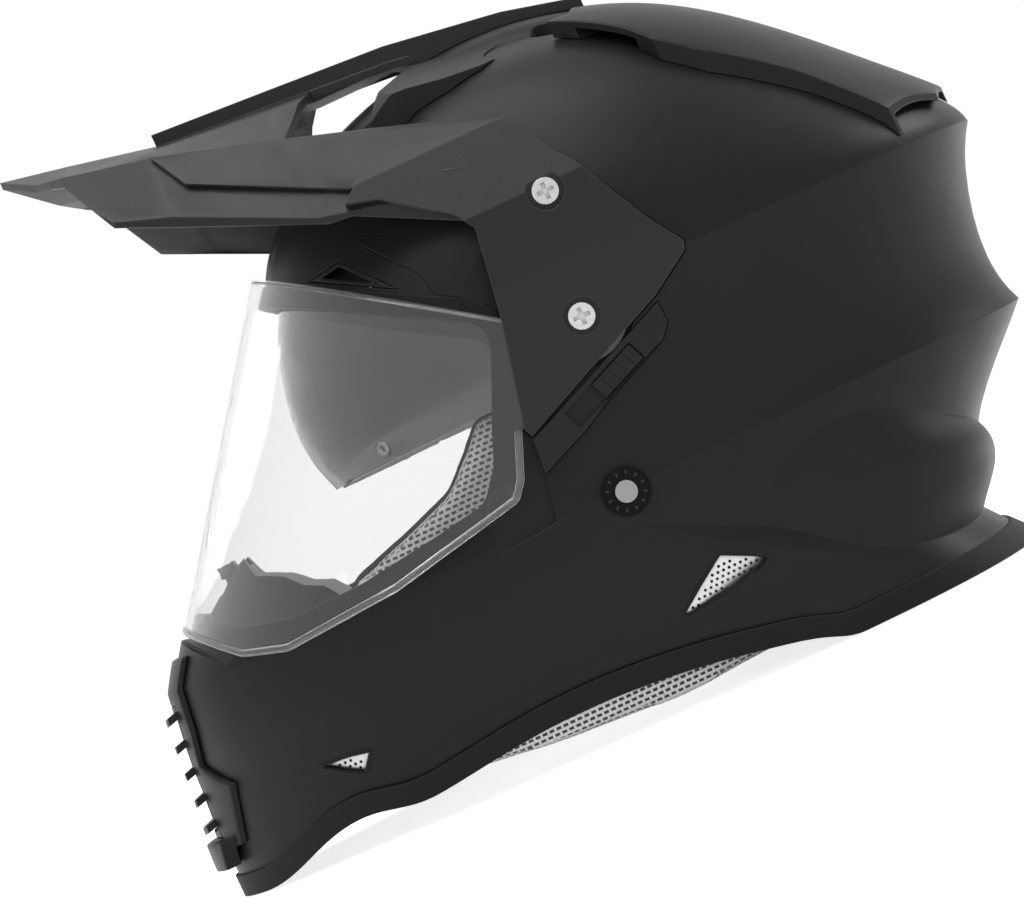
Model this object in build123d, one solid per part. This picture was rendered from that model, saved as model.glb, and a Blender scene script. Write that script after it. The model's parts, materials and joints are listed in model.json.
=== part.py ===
from build123d import *
import math
import os

os.makedirs("parts", exist_ok=True)

# The helmet stands on its rim: X to the wearer's left, Y to the back, Z up. Sizes in millimetres.
# The origin is under the middle of the helmet, on the surface that it stands on.

# Overall size of the shell
helmet_length = 400.0
helmet_height = 270.0
helmet_width = 248.0
shell_wall = 4.0

# Gaps
part_gap = 0.3
running_gap = 0.5
cut_overrun = 60.0

# Crown features
vent_rise = 5.5
vent_wall = 2.0
intake_rise = 9.0

# Rim and port
trim_height = 9.0
trim_floor = 3.0
trim_proud = 1.5
gasket_width = 8.0
gasket_proud = 1.0
port_round = 18.0
port_wall = 3.0
gasket_depth = 9.0
guard_wall = 2.5
guard_gap = 3.0
guard_drop = 15.0

# Shield mechanism: where it turns, and the layers outwards from the pocket's floor
pivot_y = 23.0
pivot_z = 150.0
pocket_floor_x = 114.5
pocket_wall = 3.7
plate_thickness = 2.9
shield_thickness = 2.2
peak_thickness = 3.0
boss_radius = 8.0
arm_radius = 17.0
arm_room = 2.0
sweep_room_depth = 3.5

# Face shield
shield_tilt = 35.8
shield_reach = 130.7
shield_power = 1.9
shield_flat = 21.0
shield_rise = 60.0
shield_drop = 185.0

# Sun visor
visor_y = 16.5
visor_z = 150.0
visor_radius = 113.0
visor_half_width = 101.0
visor_thickness = 2.0
visor_pin_radius = 2.5
visor_sweep_gap = 1.2

# Screws and rivets
screw_head_radius = 5.0
screw_head_height = 1.8
screw_shank_radius = 2.9
screw_slot_length = 6.5
screw_slot_width = 1.6
screw_slot_depth = 0.9
screw_recess_radius = 7.2
screw_recess_depth = 1.5
rivet_head_radius = 4.2
rivet_shank_radius = 3.0
rivet_length = 8.8
washer_radius = 9.3
washer_height = 1.8
rivet_y = 10.7
rivet_z = 84.7
rivet_face_x = 122.6

# Head space inside the foam
head_half_width = 86.0
head_front_y = -50.0
head_back_y = 152.0
head_top_z = 234.0
pad_thickness = 9.0
head_shares = [
    (-0.05, 1.00, 0.90, 0.0), (0.15, 1.00, 0.92, 0.0), (0.35, 1.00, 0.96, 0.0), (0.55, 1.00, 1.00, 0.0),
    (0.68, 0.98, 0.98, 0.3), (0.80, 0.88, 0.90, 0.55), (0.90, 0.70, 0.73, 0.8), (0.965, 0.45, 0.48, 0.95),
    (0.995, 0.20, 0.21, 1.0),
]

foam_bottom_z = 42.0
chin_foam_thickness = 22.0
chin_foam_low_z = 26.0
chin_foam_high_z = 72.0
chin_foam_back_y = -20.0
comfort_low_z = 126.0
cheek_round = 7.0
cheek_dome_x = 27.0
cheek_dome_y = 112.0
cheek_dome_z = 90.0
cheek_dome_mid_y = -24.0
cheek_dome_mid_z = 66.0
channel_width = 3.0
channel_depth = 2.0
neck_swell = 12.0
neck_low_z = 8.0
neck_front_y = 66.0

# Chin: cap, louvres, meshes, vent lever
cap_proud = 2.6
lip_proud = 7.5
grille_proud = 6.5
grille_depth = 20.0
louvre_count = 5
louvre_thickness = 3.0
mesh_thickness = 0.8
mesh_depth = 1.6
mesh_hole_radius = 0.65
mesh_pitch = 2.3
mesh_border = 1.3
chin_lever_width = 7.0
chin_lever_depth = 5.0
chin_lever_height = 8.0
chin_lever_head_width = 14.0
chin_lever_head_depth = 7.5
chin_lever_head_height = 5.0
chin_lever_travel = 5.0

# Brow vents
frame_proud = 0.5
frame_border = 2.0
brow_slider_overlap = 1.2
brow_slider_thickness = 1.5
brow_slider_travel = 3.0
brow_slider_gap = 0.8
seam_width = 0.9
seam_depth = 0.8

# Sun visor's slider
slider_floor_x = 118.2
slider_top_x = 123.4
slider_knob_length = 20.0
slider_knob_width = 7.0
slider_travel = 14.0
slider_rib_count = 4
slider_rib_gap = 1.2
slider_web = 2.0
slider_knob_proud = 1.0
visor_pin_overlap = 3.0

# Screw places and lengths
side_screw_y = 30.4
side_screw_z = 197.5
side_screw_length = 6.5
pivot_screw_length = 11.0
top_screw_y = 48.4
top_screw_z = 275.6
top_screw_length = 12.0

# Chin strap and buckle
strap_top_x = 116.6
strap_outer_x = 106.0
strap_knee_z = 42.0
strap_pass_z = 24.0
strap_bend_radius = 6.0
strap_room_depth = 26.0
strap_side_gap = 1.8
strap_head_gap = 6.7
tongue_tooth_count = 8
strap_width = 20.0
strap_thickness = 1.6
buckle_length = 40.0
buckle_width = 24.0
buckle_height = 9.0
buckle_pin_x = -10.0
lever_length = 28.0
lever_thickness = 2.5
tooth_height = 1.0
tooth_pitch = 2.8


def side_place(share):
    """A place in the side view, (Y, Z), from its shares of the helmet's length and height."""
    return (share[0] * helmet_length, share[1] * helmet_height)


def front_place(share):
    """A place in the front view, (X, Z), from its shares of the half width and the height."""
    return (share[0] * helmet_width / 2, share[1] * helmet_height)


def top_place(share):
    """A place in the top view, (X, Y), from its shares of the half width and the length."""
    return (share[0] * helmet_width / 2, share[1] * helmet_length)


def side_prism(face_yz, x_from, x_to):
    """A side-view face drawn out across the helmet from one X to another."""
    placed = Pos(x_from, 0, 0) * (Plane.YZ * face_yz)
    return extrude(placed, amount=x_to - x_from, dir=(1, 0, 0))


def across(face_yz):
    """A side-view face drawn through the whole width of the helmet."""
    half = helmet_width / 2 + cut_overrun
    return side_prism(face_yz, -half, half)


def front_prism(face_xz, y_from, y_to):
    """A front-view face drawn out from one Y to another."""
    placed = Pos(0, y_from, 0) * (Plane(origin=(0, 0, 0), x_dir=(1, 0, 0), z_dir=(0, -1, 0)) * face_xz)
    return extrude(placed, amount=y_to - y_from, dir=(0, 1, 0))


def top_prism(face_xy, z_from, z_to, taper=0.0):
    """A top-view face drawn out from one Z to another."""
    return extrude(Pos(0, 0, z_from) * face_xy, amount=z_to - z_from, dir=(0, 0, 1), taper=taper)


def polygon(points):
    return make_face(Polyline(*points, close=True))


def outline(shares, place=side_place):
    """A face from its table of shares."""
    return polygon([place(share) for share in shares])


def both_sides(solid):
    """The solid and its mirror image on the other side of the helmet."""
    return [solid, mirror(solid, about=Plane.YZ)]


def disc_x(radius, x_from, x_to, y, z):
    """A round disc or shank that lies along X."""
    return side_prism(Pos(y, z) * Circle(radius), x_from, x_to)


def only(shape):
    """The largest solid of a shape, where a cut leaves crumbs beside it."""
    return max(shape.solids(), key=lambda solid: solid.volume)


# Level curves of the shell's forms. Each row holds shares: height, front and back of the length,
# half width, place of the widest point along the length, and the roundness of the nose and the tail.
# The last value is how much of an inset the row's height follows, nothing below the upper crease.
body_low_shares = [
    (-0.022, -0.478, 0.325, 0.81, 0.050, 1.80, 2.3, 0.0),
    (0.063, -0.478, 0.342, 0.88, 0.045, 1.85, 2.3, 0.0),
    (0.167, -0.471, 0.375, 0.945, 0.035, 1.95, 2.3, 0.0),
]
body_waist_shares = [
    (0.167, -0.471, 0.375, 0.945, 0.035, 1.95, 2.3, 0.0),
    (0.222, -0.468, 0.402, 0.965, 0.030, 2.00, 2.3, 0.0),
    (0.278, -0.464, 0.440, 0.978, 0.035, 2.05, 2.3, 0.0),
    (0.319, -0.460, 0.468, 0.984, 0.045, 2.10, 2.3, 0.0),
]
body_side_shares = [
    (0.319, -0.460, 0.468, 0.984, 0.045, 2.10, 2.3, 0.0),
    (0.381, -0.432, 0.4575, 0.982, 0.050, 2.10, 2.3, 0.0),
    (0.452, -0.395, 0.461, 0.984, 0.062, 2.05, 2.3, 0.0),
    (0.530, -0.352, 0.476, 0.990, 0.075, 2.00, 2.3, 0.0),
    (0.585, -0.322, 0.496, 1.000, 0.087, 2.00, 2.3, 0.0),
]
body_crown_shares = [
    (0.585, -0.322, 0.496, 1.000, 0.087, 2.00, 2.3, 0.0),
    (0.630, -0.298, 0.480, 0.988, 0.090, 2.00, 2.3, 0.1),
    (0.700, -0.260, 0.433, 0.952, 0.092, 2.00, 2.2, 0.3),
    (0.785, -0.215, 0.372, 0.870, 0.090, 2.00, 2.15, 0.5),
    (0.855, -0.175, 0.316, 0.765, 0.085, 2.00, 2.1, 0.7),
    (0.911, -0.125, 0.260, 0.630, 0.080, 2.00, 2.0, 0.85),
    (0.948, -0.070, 0.205, 0.470, 0.075, 2.00, 2.0, 0.95),
    (0.970, -0.010, 0.150, 0.300, 0.070, 2.00, 2.0, 1.0),
    (0.977, 0.025, 0.112, 0.160, 0.068, 2.00, 2.0, 1.0),
]
crest_shares = [
    (0.690, -0.245, 0.430, 0.30, 0.10, 3.0, 3.0, 0.3),
    (0.740, -0.232, 0.409, 0.34, 0.10, 3.0, 3.0, 0.3),
    (0.815, -0.203, 0.356, 0.34, 0.10, 3.0, 3.0, 0.5),
    (0.890, -0.157, 0.297, 0.34, 0.09, 3.0, 3.0, 0.7),
    (0.933, -0.113, 0.2585, 0.335, 0.08, 3.0, 3.0, 0.85),
    (0.967, -0.062, 0.210, 0.31, 0.075, 2.8, 2.8, 0.95),
    (0.989, -0.008, 0.163, 0.25, 0.075, 2.6, 2.6, 1.0),
    (1.000, 0.030, 0.120, 0.17, 0.075, 2.4, 2.4, 1.0),
    (1.004, 0.055, 0.095, 0.09, 0.075, 2.2, 2.2, 1.0),
]
tail_shares = [
    (-0.022, -0.15, 0.324, 0.80, 0.10, 2.0, 2.8, 0.0),
    (0.056, -0.15, 0.343, 0.86, 0.10, 2.0, 2.8, 0.0),
    (0.119, -0.15, 0.375, 0.90, 0.095, 2.0, 2.9, 0.0),
    (0.156, -0.15, 0.382, 0.915, 0.095, 2.0, 3.0, 0.0),
    (0.193, -0.15, 0.373, 0.93, 0.090, 2.0, 3.1, 0.0),
    (0.244, -0.15, 0.358, 0.945, 0.085, 2.0, 3.1, 0.0),
    (0.311, -0.15, 0.345, 0.945, 0.080, 2.0, 3.1, 0.0),
]
skirt_shares = [
    (-0.022, -0.20, 0.397, 0.875, 0.150, 2.0, 2.4, 0.0),
    (0.006, -0.20, 0.381, 0.880, 0.145, 2.0, 2.4, 0.0),
    (0.056, -0.20, 0.352, 0.900, 0.130, 2.0, 2.4, 0.0),
    (0.119, -0.20, 0.318, 0.935, 0.110, 2.0, 2.3, 0.0),
    (0.167, -0.20, 0.286, 0.958, 0.085, 2.0, 2.2, 0.0),
    (0.222, -0.20, 0.245, 0.972, 0.050, 2.0, 2.1, 0.0),
    (0.278, -0.20, 0.190, 0.974, 0.012, 2.0, 2.0, 0.0),
]


def quarter(start, end, corner, power):
    """A quarter of a level, as round as a superellipse of that power, bulging towards `corner`."""
    fullness = (8 * 2 ** (-1 / power) - 4) / 3
    pull_start = tuple(s + (c - s) * fullness for s, c in zip(start, corner))
    pull_end = tuple(e + (c - e) * fullness for e, c in zip(end, corner))
    return Bezier(start, pull_start, pull_end, end)


def level_wire(row, inset):
    """One level of a form: a closed curve, the same on both sides, set in by `inset`."""
    height, front, back, half, widest, nose, tail, follow = row
    z = height * helmet_height - follow * inset
    x = half * helmet_width / 2 - inset
    y_mid = widest * helmet_length
    y_front = front * helmet_length + inset
    y_back = back * helmet_length - inset
    left_point = (x, y_mid, z)
    right_point = (-x, y_mid, z)
    back_point = (0, y_back, z)
    front_point = (0, y_front, z)
    return Wire([
        quarter(left_point, back_point, (x, y_back, z), tail),
        quarter(back_point, right_point, (-x, y_back, z), tail),
        quarter(right_point, front_point, (-x, y_front, z), nose),
        quarter(front_point, left_point, (x, y_front, z), nose),
    ])


def form(rows, inset):
    return Solid.make_loft([level_wire(row, inset) for row in rows])


def body_form(inset):
    """The shell's main form, in bands that meet at its creases."""
    upper = [form(rows, inset) for rows in (body_waist_shares, body_side_shares, body_crown_shares)]
    return form(body_low_shares, inset).fuse(*upper)


def lower_form(inset):
    """The two lowest bands alone, for what sits on the chin."""
    return form(body_low_shares, inset) + form(body_waist_shares, inset)


def outer_form(inset):
    """Body, squarer tail under its slanting crease, and flared skirt together."""
    tail = form(tail_shares, inset) & across(outline(tail_cut_shares))
    return body_form(inset).fuse(tail, form(skirt_shares, inset))


# Outlines in the side view, as shares of the length and the height
rim_curve_shares = [
    (0.175, 0.0), (0.140, 0.014), (0.092, 0.032), (0.036, 0.047), (-0.052, 0.061), (-0.147, 0.058),
    (-0.233, 0.041), (-0.272, 0.037), (-0.319, 0.048), (-0.372, 0.036), (-0.455, 0.0),
]
rim_ends_share = 0.6
pocket_low_share = 0.36
pocket_high_share = 0.715
port_shares = [
    (-0.210, 0.800), (-0.025, 0.637), (-0.004, 0.600), (-0.014, 0.550), (-0.041, 0.462), (-0.057, 0.405),
    (-0.085, 0.352), (-0.150, 0.336), (-0.230, 0.320), (-0.305, 0.316), (-0.365, 0.334), (-0.433, 0.395),
    (-0.575, 0.560), (-0.350, 1.000),
]
port_step_shares = [
    (-0.150, 0.744), (-0.025, 0.635), (0.007, 0.593), (-0.030, 0.405), (-0.042, 0.315), (-0.190, 0.296),
    (-0.330, 0.278), (-0.375, 0.311), (-0.433, 0.383), (-0.575, 0.560),
]
tail_cut_shares = [(-0.300, 0.899), (0.600, -0.034), (0.600, -0.300), (-0.300, -0.300)]
brow_seam_shares = [(-0.100, 0.776), (-0.0625, 0.705), (-0.0572, 0.669), (-0.031, 0.645), (-0.012, 0.640)]
arm_shares = [
    (0.072, 0.850), (0.100, 0.776), (0.111, 0.756), (0.151, 0.639), (0.172, 0.591), (0.169, 0.578),
    (0.127, 0.539), (-0.030, 0.436), (-0.034, 0.447), (-0.010, 0.604), (0.003, 0.726), (-0.009, 0.754),
    (-0.067, 0.820), (-0.097, 0.833), (-0.060, 0.880),
]
shield_shares = [
    (-0.065, 0.364), (-0.202, 0.321), (-0.322, 0.308), (-0.368, 0.327), (-0.426, 0.391), (-0.500, 0.460),
    (-0.300, 0.980), (-0.217, 0.820), (-0.007, 0.596), (0.015, 0.625), (0.0575, 0.618), (0.0575, 0.505),
    (-0.036, 0.450), (-0.0535, 0.386),
]
sweep_room_shares = [(-0.050, 0.605), (0.000, 0.580), (0.030, 0.680), (0.005, 0.730), (-0.050, 0.710)]
mesh_rear_shares = [(0.120, 0.151), (0.080, 0.180), (0.029, 0.1285), (0.033, 0.1225), (0.110, 0.141)]
mesh_chin_shares = [(-0.347, 0.141), (-0.295, 0.133), (-0.308, 0.109)]


def below_rim(rise):
    """Everything under the rim line, lifted by `rise`."""
    curve_points = [(y, z + rise) for y, z in map(side_place, rim_curve_shares)]
    far = rim_ends_share * helmet_length
    deep = -cut_overrun
    curve = Spline(*curve_points, tangents=[(-1, 0), (-1, 0)])
    outline = [
        Line((far, rise), curve_points[0]),
        curve,
        Polyline(curve_points[-1], (-far, rise), (-far, deep), (far, deep), (far, rise)),
    ]
    return across(make_face(outline))


def port_face():
    """The eye port's outline, its corners rounded."""
    return offset(offset(outline(port_shares), amount=-port_round), amount=port_round)


def arm_face():
    return outline(arm_shares)


def arm_x():
    """The inner face of the peak's arms."""
    return pocket_floor_x + plate_thickness + running_gap + shield_thickness + running_gap


def shield_inner_x():
    """The inner face of the shield beside its pivots."""
    return arm_x() - running_gap - shield_thickness


def pocket_face(grow):
    """Outline of the recess for the shield's mechanism and the peak's arm."""
    low = pocket_low_share * helmet_height
    high = pocket_high_share * helmet_height
    band = polygon([(-cut_overrun, low), (cut_overrun + pivot_y, low), (cut_overrun + pivot_y, high),
                    (-cut_overrun, high)])
    sweep = Pos(pivot_y, pivot_z) * Circle(arm_radius + arm_room)
    return offset(arm_face() & band, amount=grow + running_gap) + offset(sweep, amount=grow)


def shield_tube(inset):
    """The closed tube whose skin is the face shield, set in by `inset`."""
    tilt = math.radians(shield_tilt)
    frame = Plane(origin=(0, pivot_y, pivot_z), x_dir=(1, 0, 0), z_dir=(0, -math.sin(tilt), -math.cos(tilt)))
    half = arm_x() - running_gap - inset
    reach = shield_reach - inset
    bulge = [quarter((half, shield_flat), (0, reach), (half, reach), shield_power),
             quarter((0, reach), (-half, shield_flat), (-half, reach), shield_power)]
    back = -cut_overrun
    rest = Polyline((-half, shield_flat), (-half, back), (half, back), (half, shield_flat))
    face = frame * make_face([*bulge, rest])
    down = frame.z_dir
    return extrude(face, amount=shield_drop, dir=down) + extrude(face, amount=shield_rise, dir=down * -1)


def visor_form(radius, half_width):
    """The round form that the sun visor is a piece of, turned about the line it swings on."""
    axis = Axis((0, visor_y, visor_z), (1, 0, 0))
    outline = Plane(origin=(0, visor_y, visor_z), x_dir=(1, 0, 0), z_dir=(0, -1, 0))
    curves = [quarter((half_width, 0), (0, radius), (half_width, radius), 2),
              quarter((0, radius), (-half_width, 0), (-half_width, radius), 2)]
    face = outline * make_face([*curves, Line((-half_width, 0), (half_width, 0))])
    return revolve(face, axis=axis, revolution_arc=360)


def head_level(z, x_reach, y_reach):
    """One level of the head's space: an ellipse."""
    y_mid = (head_front_y + head_back_y) / 2
    ends = [(x_reach, 0), (0, y_reach), (-x_reach, 0), (0, -y_reach)]
    edges = []
    for (x_a, y_a), (x_b, y_b) in zip(ends, ends[1:] + ends[:1]):
        corner = (x_a + x_b, y_mid + y_a + y_b, z)
        edges.append(quarter((x_a, y_mid + y_a, z), (x_b, y_mid + y_b, z), corner, 2))
    return Wire(edges)


def head_form(inset):
    """The space for the head, set in by `inset`: an egg over an open neck."""
    half_length = (head_back_y - head_front_y) / 2
    wires = []
    for height_share, width_share, length_share, follow in head_shares:
        z = height_share * head_top_z - follow * inset
        wires.append(head_level(z, head_half_width * width_share - inset, half_length * length_share - inset))
    return Solid.make_loft(wires)


def keep(name, *shapes):
    """Write one sub-part, as one solid or as a group of separate solids."""
    loose = []
    for shape in shapes:
        loose.extend(shape.solids())
    whole = loose[0] if len(loose) == 1 else Compound(children=loose)
    export_step(whole, f"parts/{name}.step")
    print(name, len(loose), round(sum(solid.volume for solid in loose)))
    return loose


def flipped(shape):
    """The mirror image on the wearer's right."""
    return mirror(shape, about=Plane.YZ)


def slab_z(z_from, z_to):
    """Everything between two heights."""
    return Pos(0, 0, (z_from + z_to) / 2) * Box(helmet_length * 2, helmet_length * 2, z_to - z_from)


def slab_y(y_from, y_to):
    """Everything between two places along the helmet."""
    return Pos(0, (y_from + y_to) / 2, 0) * Box(helmet_length * 2, y_to - y_from, helmet_length * 2)


# Outlines of the fittings, as shares of the length and height (side), half width and height (front)
# or half width and length (top)
foam_port_shares = [
    (-0.030, -0.220), (-0.030, 0.300), (-0.018, 0.330), (-0.003, 0.407), (0.032, 0.593), (0.027, 0.652),
    (-0.2375, 0.874), (-0.650, 0.874), (-0.650, -0.220),
]
visor_side_shares = [
    (0.062, 0.525), (-0.075, 0.490), (-0.235, 0.485), (-0.330, 0.485), (-0.275, 0.845), (-0.028, 0.625),
    (0.020, 0.595), (0.062, 0.588),
]
visor_nose_shares = [(-0.27, 0.42), (-0.24, 0.49), (-0.06, 0.60), (0.06, 0.60), (0.24, 0.49), (0.27, 0.42)]
cheek_shares = [
    (-0.225, 0.040), (-0.262, 0.160), (-0.272, 0.300), (-0.243, 0.357), (-0.177, 0.388), (-0.124, 0.417),
    (-0.090, 0.464), (-0.072, 0.494), (-0.030, 0.490), (0.000, 0.470), (0.040, 0.450), (0.120, 0.350),
    (0.145, 0.160), (0.140, 0.022), (0.000, 0.012), (-0.110, 0.022),
]
cheek_channel_shares = [
    [(-0.300, 0.268), (-0.130, 0.318), (0.160, 0.272), (0.160, 0.261), (-0.130, 0.306), (-0.300, 0.257)],
    [(-0.300, 0.150), (-0.130, 0.176), (0.160, 0.150), (0.160, 0.139), (-0.130, 0.164), (-0.300, 0.139)],
]
chin_cap_shares = [
    (-0.30, 0.360), (0.30, 0.360), (0.27, 0.255), (0.22, 0.205), (0.36, 0.165), (0.27, 0.078), (-0.27, 0.078),
    (-0.36, 0.165), (-0.22, 0.205), (-0.27, 0.255),
]
chin_opening_shares = [
    (-0.20, 0.300), (0.20, 0.300), (0.13, 0.205), (0.17, 0.095), (-0.17, 0.095), (-0.13, 0.205),
]
chin_lip_shares = [(-0.24, 0.092), (0.24, 0.092), (0.20, 0.050), (-0.20, 0.050)]
guard_side_shares = [
    (-0.412, 0.370), (-0.380, 0.4064), (-0.3395, 0.4529), (-0.333, 0.4216), (-0.307, 0.4034),
    (-0.2913, 0.3795), (-0.274, 0.3676), (-0.262, 0.345), (-0.250, 0.330), (-0.262, 0.300), (-0.400, 0.290),
    (-0.430, 0.320),
]
guard_front_shares = [
    (-0.12, 0.453), (0.12, 0.453), (0.36, 0.345), (0.40, 0.290), (-0.40, 0.290), (-0.36, 0.345),
]
brow_vent_shares = [(-0.162, 0.768), (-0.1253, 0.774), (-0.084, 0.697), (-0.098, 0.7085)]
vent_plan_shares = [
    (0.16, 0.190), (0.40, 0.175), (0.464, 0.152), (0.60, 0.213), (0.665, 0.232), (0.69, 0.265),
    (0.665, 0.345), (0.702, 0.405), (0.46, 0.462), (0.16, 0.4825),
]
duct_plan_shares = [
    (0.19, 0.230), (0.40, 0.215), (0.52, 0.168), (0.63, 0.206), (0.60, 0.240), (0.64, 0.268), (0.635, 0.345),
    (0.670, 0.395), (0.76, 0.470), (0.50, 0.540), (0.19, 0.520),
]
intake_plan_shares = [
    (0.620, -0.044), (0.24, 0.013), (0.22, 0.060), (0.319, 0.130), (0.44, 0.112), (0.53, 0.075),
    (0.56, 0.040), (0.550, 0.000),
]
slider_shares = [
    (-0.0310, 0.4310), (-0.0338, 0.3815), (0.0175, 0.4130), (0.0440, 0.4344), (0.0935, 0.4656),
    (0.1160, 0.4800), (0.1270, 0.5000), (0.1265, 0.5300),
]

# Peak: for each station along the length, the height of the middle, and the places (half width, height)
# of the tongue's edge, the ridge and the flange
peak_stations_shares = [
    (-0.4125, 1.112, (0.32, 1.082), (0.48, 1.070), (0.766, 1.002)),
    (-0.3350, 1.089, (0.32, 1.059), (0.48, 1.052), (0.766, 0.968)),
    (-0.2475, 1.061, (0.32, 1.040), (0.48, 1.024), (0.774, 0.922)),
    (-0.1250, 1.050, (0.32, 1.018), (0.645, 0.961), (0.850, 0.833)),
    (0.0000, 1.037, (0.32, 1.000), (0.766, 0.888), (0.930, 0.785)),
    (0.0750, 1.020, (0.32, 0.978), (0.806, 0.850), (0.945, 0.760)),
]
spine_shares = [(-0.245, 1.073), (-0.125, 1.061), (0.000, 1.048), (0.120, 1.021), (0.198, 0.992)]
spine_low_shares = [(0.198, 0.960), (0.060, 0.985), (0.000, 1.0155), (-0.0833, 1.0155), (-0.245, 1.050)]
spine_half_width = 14.0
blade_raise = 1.5
peak_plan_shares = [
    (0.0, -0.404), (0.32, -0.366), (0.605, -0.335), (0.766, -0.301), (0.855, -0.150), (0.895, -0.085),
    (0.950, -0.010), (0.950, 0.073), (0.800, 0.060), (0.760, 0.020), (0.30, 0.020), (0.0, 0.020),
]
window_plan_shares = [
    (0.637, -0.1237), (0.121, -0.0835), (0.121, 0.120), (0.770, 0.120), (0.770, 0.045), (0.690, -0.0455),
]
blade_side_shares = [
    (-0.249, 1.024), (-0.125, 0.961), (0.000, 0.888), (0.075, 0.850), (0.040, 0.800), (-0.088, 0.852),
    (-0.226, 0.961),
]
arm_profile_shares = [(0.9976, 0.370), (0.9976, 0.637), (0.976, 0.741), (0.863, 0.852), (0.790, 0.892)]

arm_lean_shares = (0.0, 0.0, 0.4, 0.6, 0.6)
channel_place_share = 0.4
neck_lip_share = 0.45
neck_length_share = 0.92
roof_base_share = 0.70
wing_side_shares = [
    (-0.430, 1.160), (-0.430, 1.090), (-0.3345, 1.035), (-0.3025, 0.943), (-0.1175, 0.8185), (-0.095, 0.815),
    (0.000, 0.740), (0.150, 0.740), (0.150, 1.160),
]
intake_duct_shares = [
    (0.66, -0.085), (0.22, -0.020), (0.25, 0.060), (0.32, 0.105), (0.44, 0.090), (0.50, 0.060), (0.51, 0.020),
    (0.52, -0.020),
]
intake_ramp_places = [(39.5, 51.3, 259.6), (62.0, 38.1, 254.7), (30.0, 5.0, 269.6)]
vent_hole_shares = [(0.33, 0.150), (0.38, 0.330)]
vent_hole_radius = 7.0
cover_low_share = 0.6
cover_high_share = 1.2
side_cut_share = 0.2
chin_back_share = 0.35
chin_hole_back_share = 0.25
chin_lever_share = (-0.360, 0.437)
slider_knob_share = (0.0660, 0.4670)


def pocket_floor_x_inner():
    return pocket_floor_x - pocket_wall


def side_cut_x():
    """Where the side openings start, well inside the shell's wall."""
    return side_cut_share * helmet_width


def brow_seam():
    """The fine groove over the brow vent."""
    path = Polyline(*[side_place(share) for share in brow_seam_shares])
    return trace(path, line_width=seam_width)


def through_body(face_yz, x_from, outer_inset, inner_inset):
    """A plate that follows the shell on the left side, with a side-view outline."""
    skin = body_form(outer_inset) - body_form(inner_inset)
    return skin & side_prism(face_yz, x_from, helmet_width)


def visor_band(grow):
    """The ring that the sun visor sweeps in front of its pins, with `grow` of room on both faces."""
    outside = visor_form(visor_radius + grow, visor_half_width + grow)
    inside = visor_form(visor_radius - visor_thickness - grow, visor_half_width - visor_thickness - grow)
    return (outside - inside) & slab_y(-helmet_length, visor_y + arm_radius)


def grille_room():
    """The opening in the chin behind the grille."""
    return front_prism(outline(chin_opening_shares, front_place), -helmet_length,
                       -chin_hole_back_share * helmet_length)


def slider_face(grow):
    return offset(outline(slider_shares), amount=grow)


def vent_hole(place_x, place_y, radius):
    return Pos(place_x, place_y, helmet_height) * Cylinder(radius, helmet_height)


def port_band():
    """The shell between the moulded step and the eye port, set back to let the shield lie over it."""
    clear = shield_tube(shield_thickness + running_gap)
    room = shield_tube(shield_thickness + running_gap + port_wall)
    band = (body_form(0) & clear) - (body_form(shell_wall) & room)
    return band & (across(outline(port_step_shares)) - across(port_face()))


def make_shell():
    outer = outer_form(0).fuse(form(crest_shares, 0))
    shell = outer.cut(body_form(shell_wall), below_rim(trim_floor), across(outline(port_step_shares)),
                      across(port_face()))
    shell = shell.fuse(*port_band().solids())
    solid_body = body_form(0).cut(across(port_face()))
    floor_inner = pocket_floor_x_inner()
    floor = side_prism(pocket_face(pocket_wall), floor_inner, pocket_floor_x + pocket_wall) & solid_body
    pocket = side_prism(pocket_face(0), pocket_floor_x, helmet_width)
    sweep_room = side_prism(outline(sweep_room_shares), shield_inner_x() - sweep_room_depth, helmet_width)
    shell = shell.fuse(floor, flipped(floor)).cut(pocket, flipped(pocket), sweep_room, flipped(sweep_room))
    shell = shell.cut(across(outline(port_step_shares)) - shield_tube(shield_thickness + running_gap))
    sweep = visor_form(visor_radius + visor_sweep_gap, visor_half_width) & slab_y(-helmet_length, visor_y)
    shell = shell.cut(sweep & slab_z(visor_z + arm_radius, helmet_height))
    holes = [grille_room(), side_prism(slider_face(part_gap), slider_floor_x, helmet_width)]
    for face in (outline(mesh_rear_shares), outline(mesh_chin_shares), outline(brow_vent_shares)):
        hole = side_prism(face, side_cut_x(), helmet_width)
        holes += [hole, flipped(hole)]
    seam = through_body(brow_seam(), side_cut_x(), -seam_depth, seam_depth)
    holes += [seam, flipped(seam)]
    for y, z, radius in ((pivot_y, pivot_z, screw_shank_radius), (rivet_y, rivet_z, rivet_shank_radius),
                         (side_screw_y, side_screw_z, screw_shank_radius),
                         (visor_y, visor_z, visor_pin_radius)):
        holes.append(disc_x(radius, -helmet_width, helmet_width, y, z))
    holes.append(Pos(0, top_screw_y, helmet_height) * Cylinder(screw_shank_radius, cut_overrun))
    for share in vent_hole_shares:
        x, y = top_place(share)
        holes += [vent_hole(x, y, vent_hole_radius), vent_hole(-x, y, vent_hole_radius)]
    return shell.cut(*holes)


def make_edge_trim():
    skin = outer_form(-trim_proud) & below_rim(trim_height)
    return skin.cut(below_rim(0), body_form(shell_wall + trim_proud))


def make_port_gasket():
    ring = across(port_face()) - across(offset(port_face(), amount=-gasket_width))
    skin = body_form(-gasket_proud) - body_form(gasket_depth)
    swept = visor_form(visor_radius + visor_sweep_gap, visor_half_width + visor_sweep_gap)
    swept = swept & slab_y(-helmet_length, visor_y)
    return (ring & skin & shield_tube(shield_thickness + running_gap)) - swept


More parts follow.
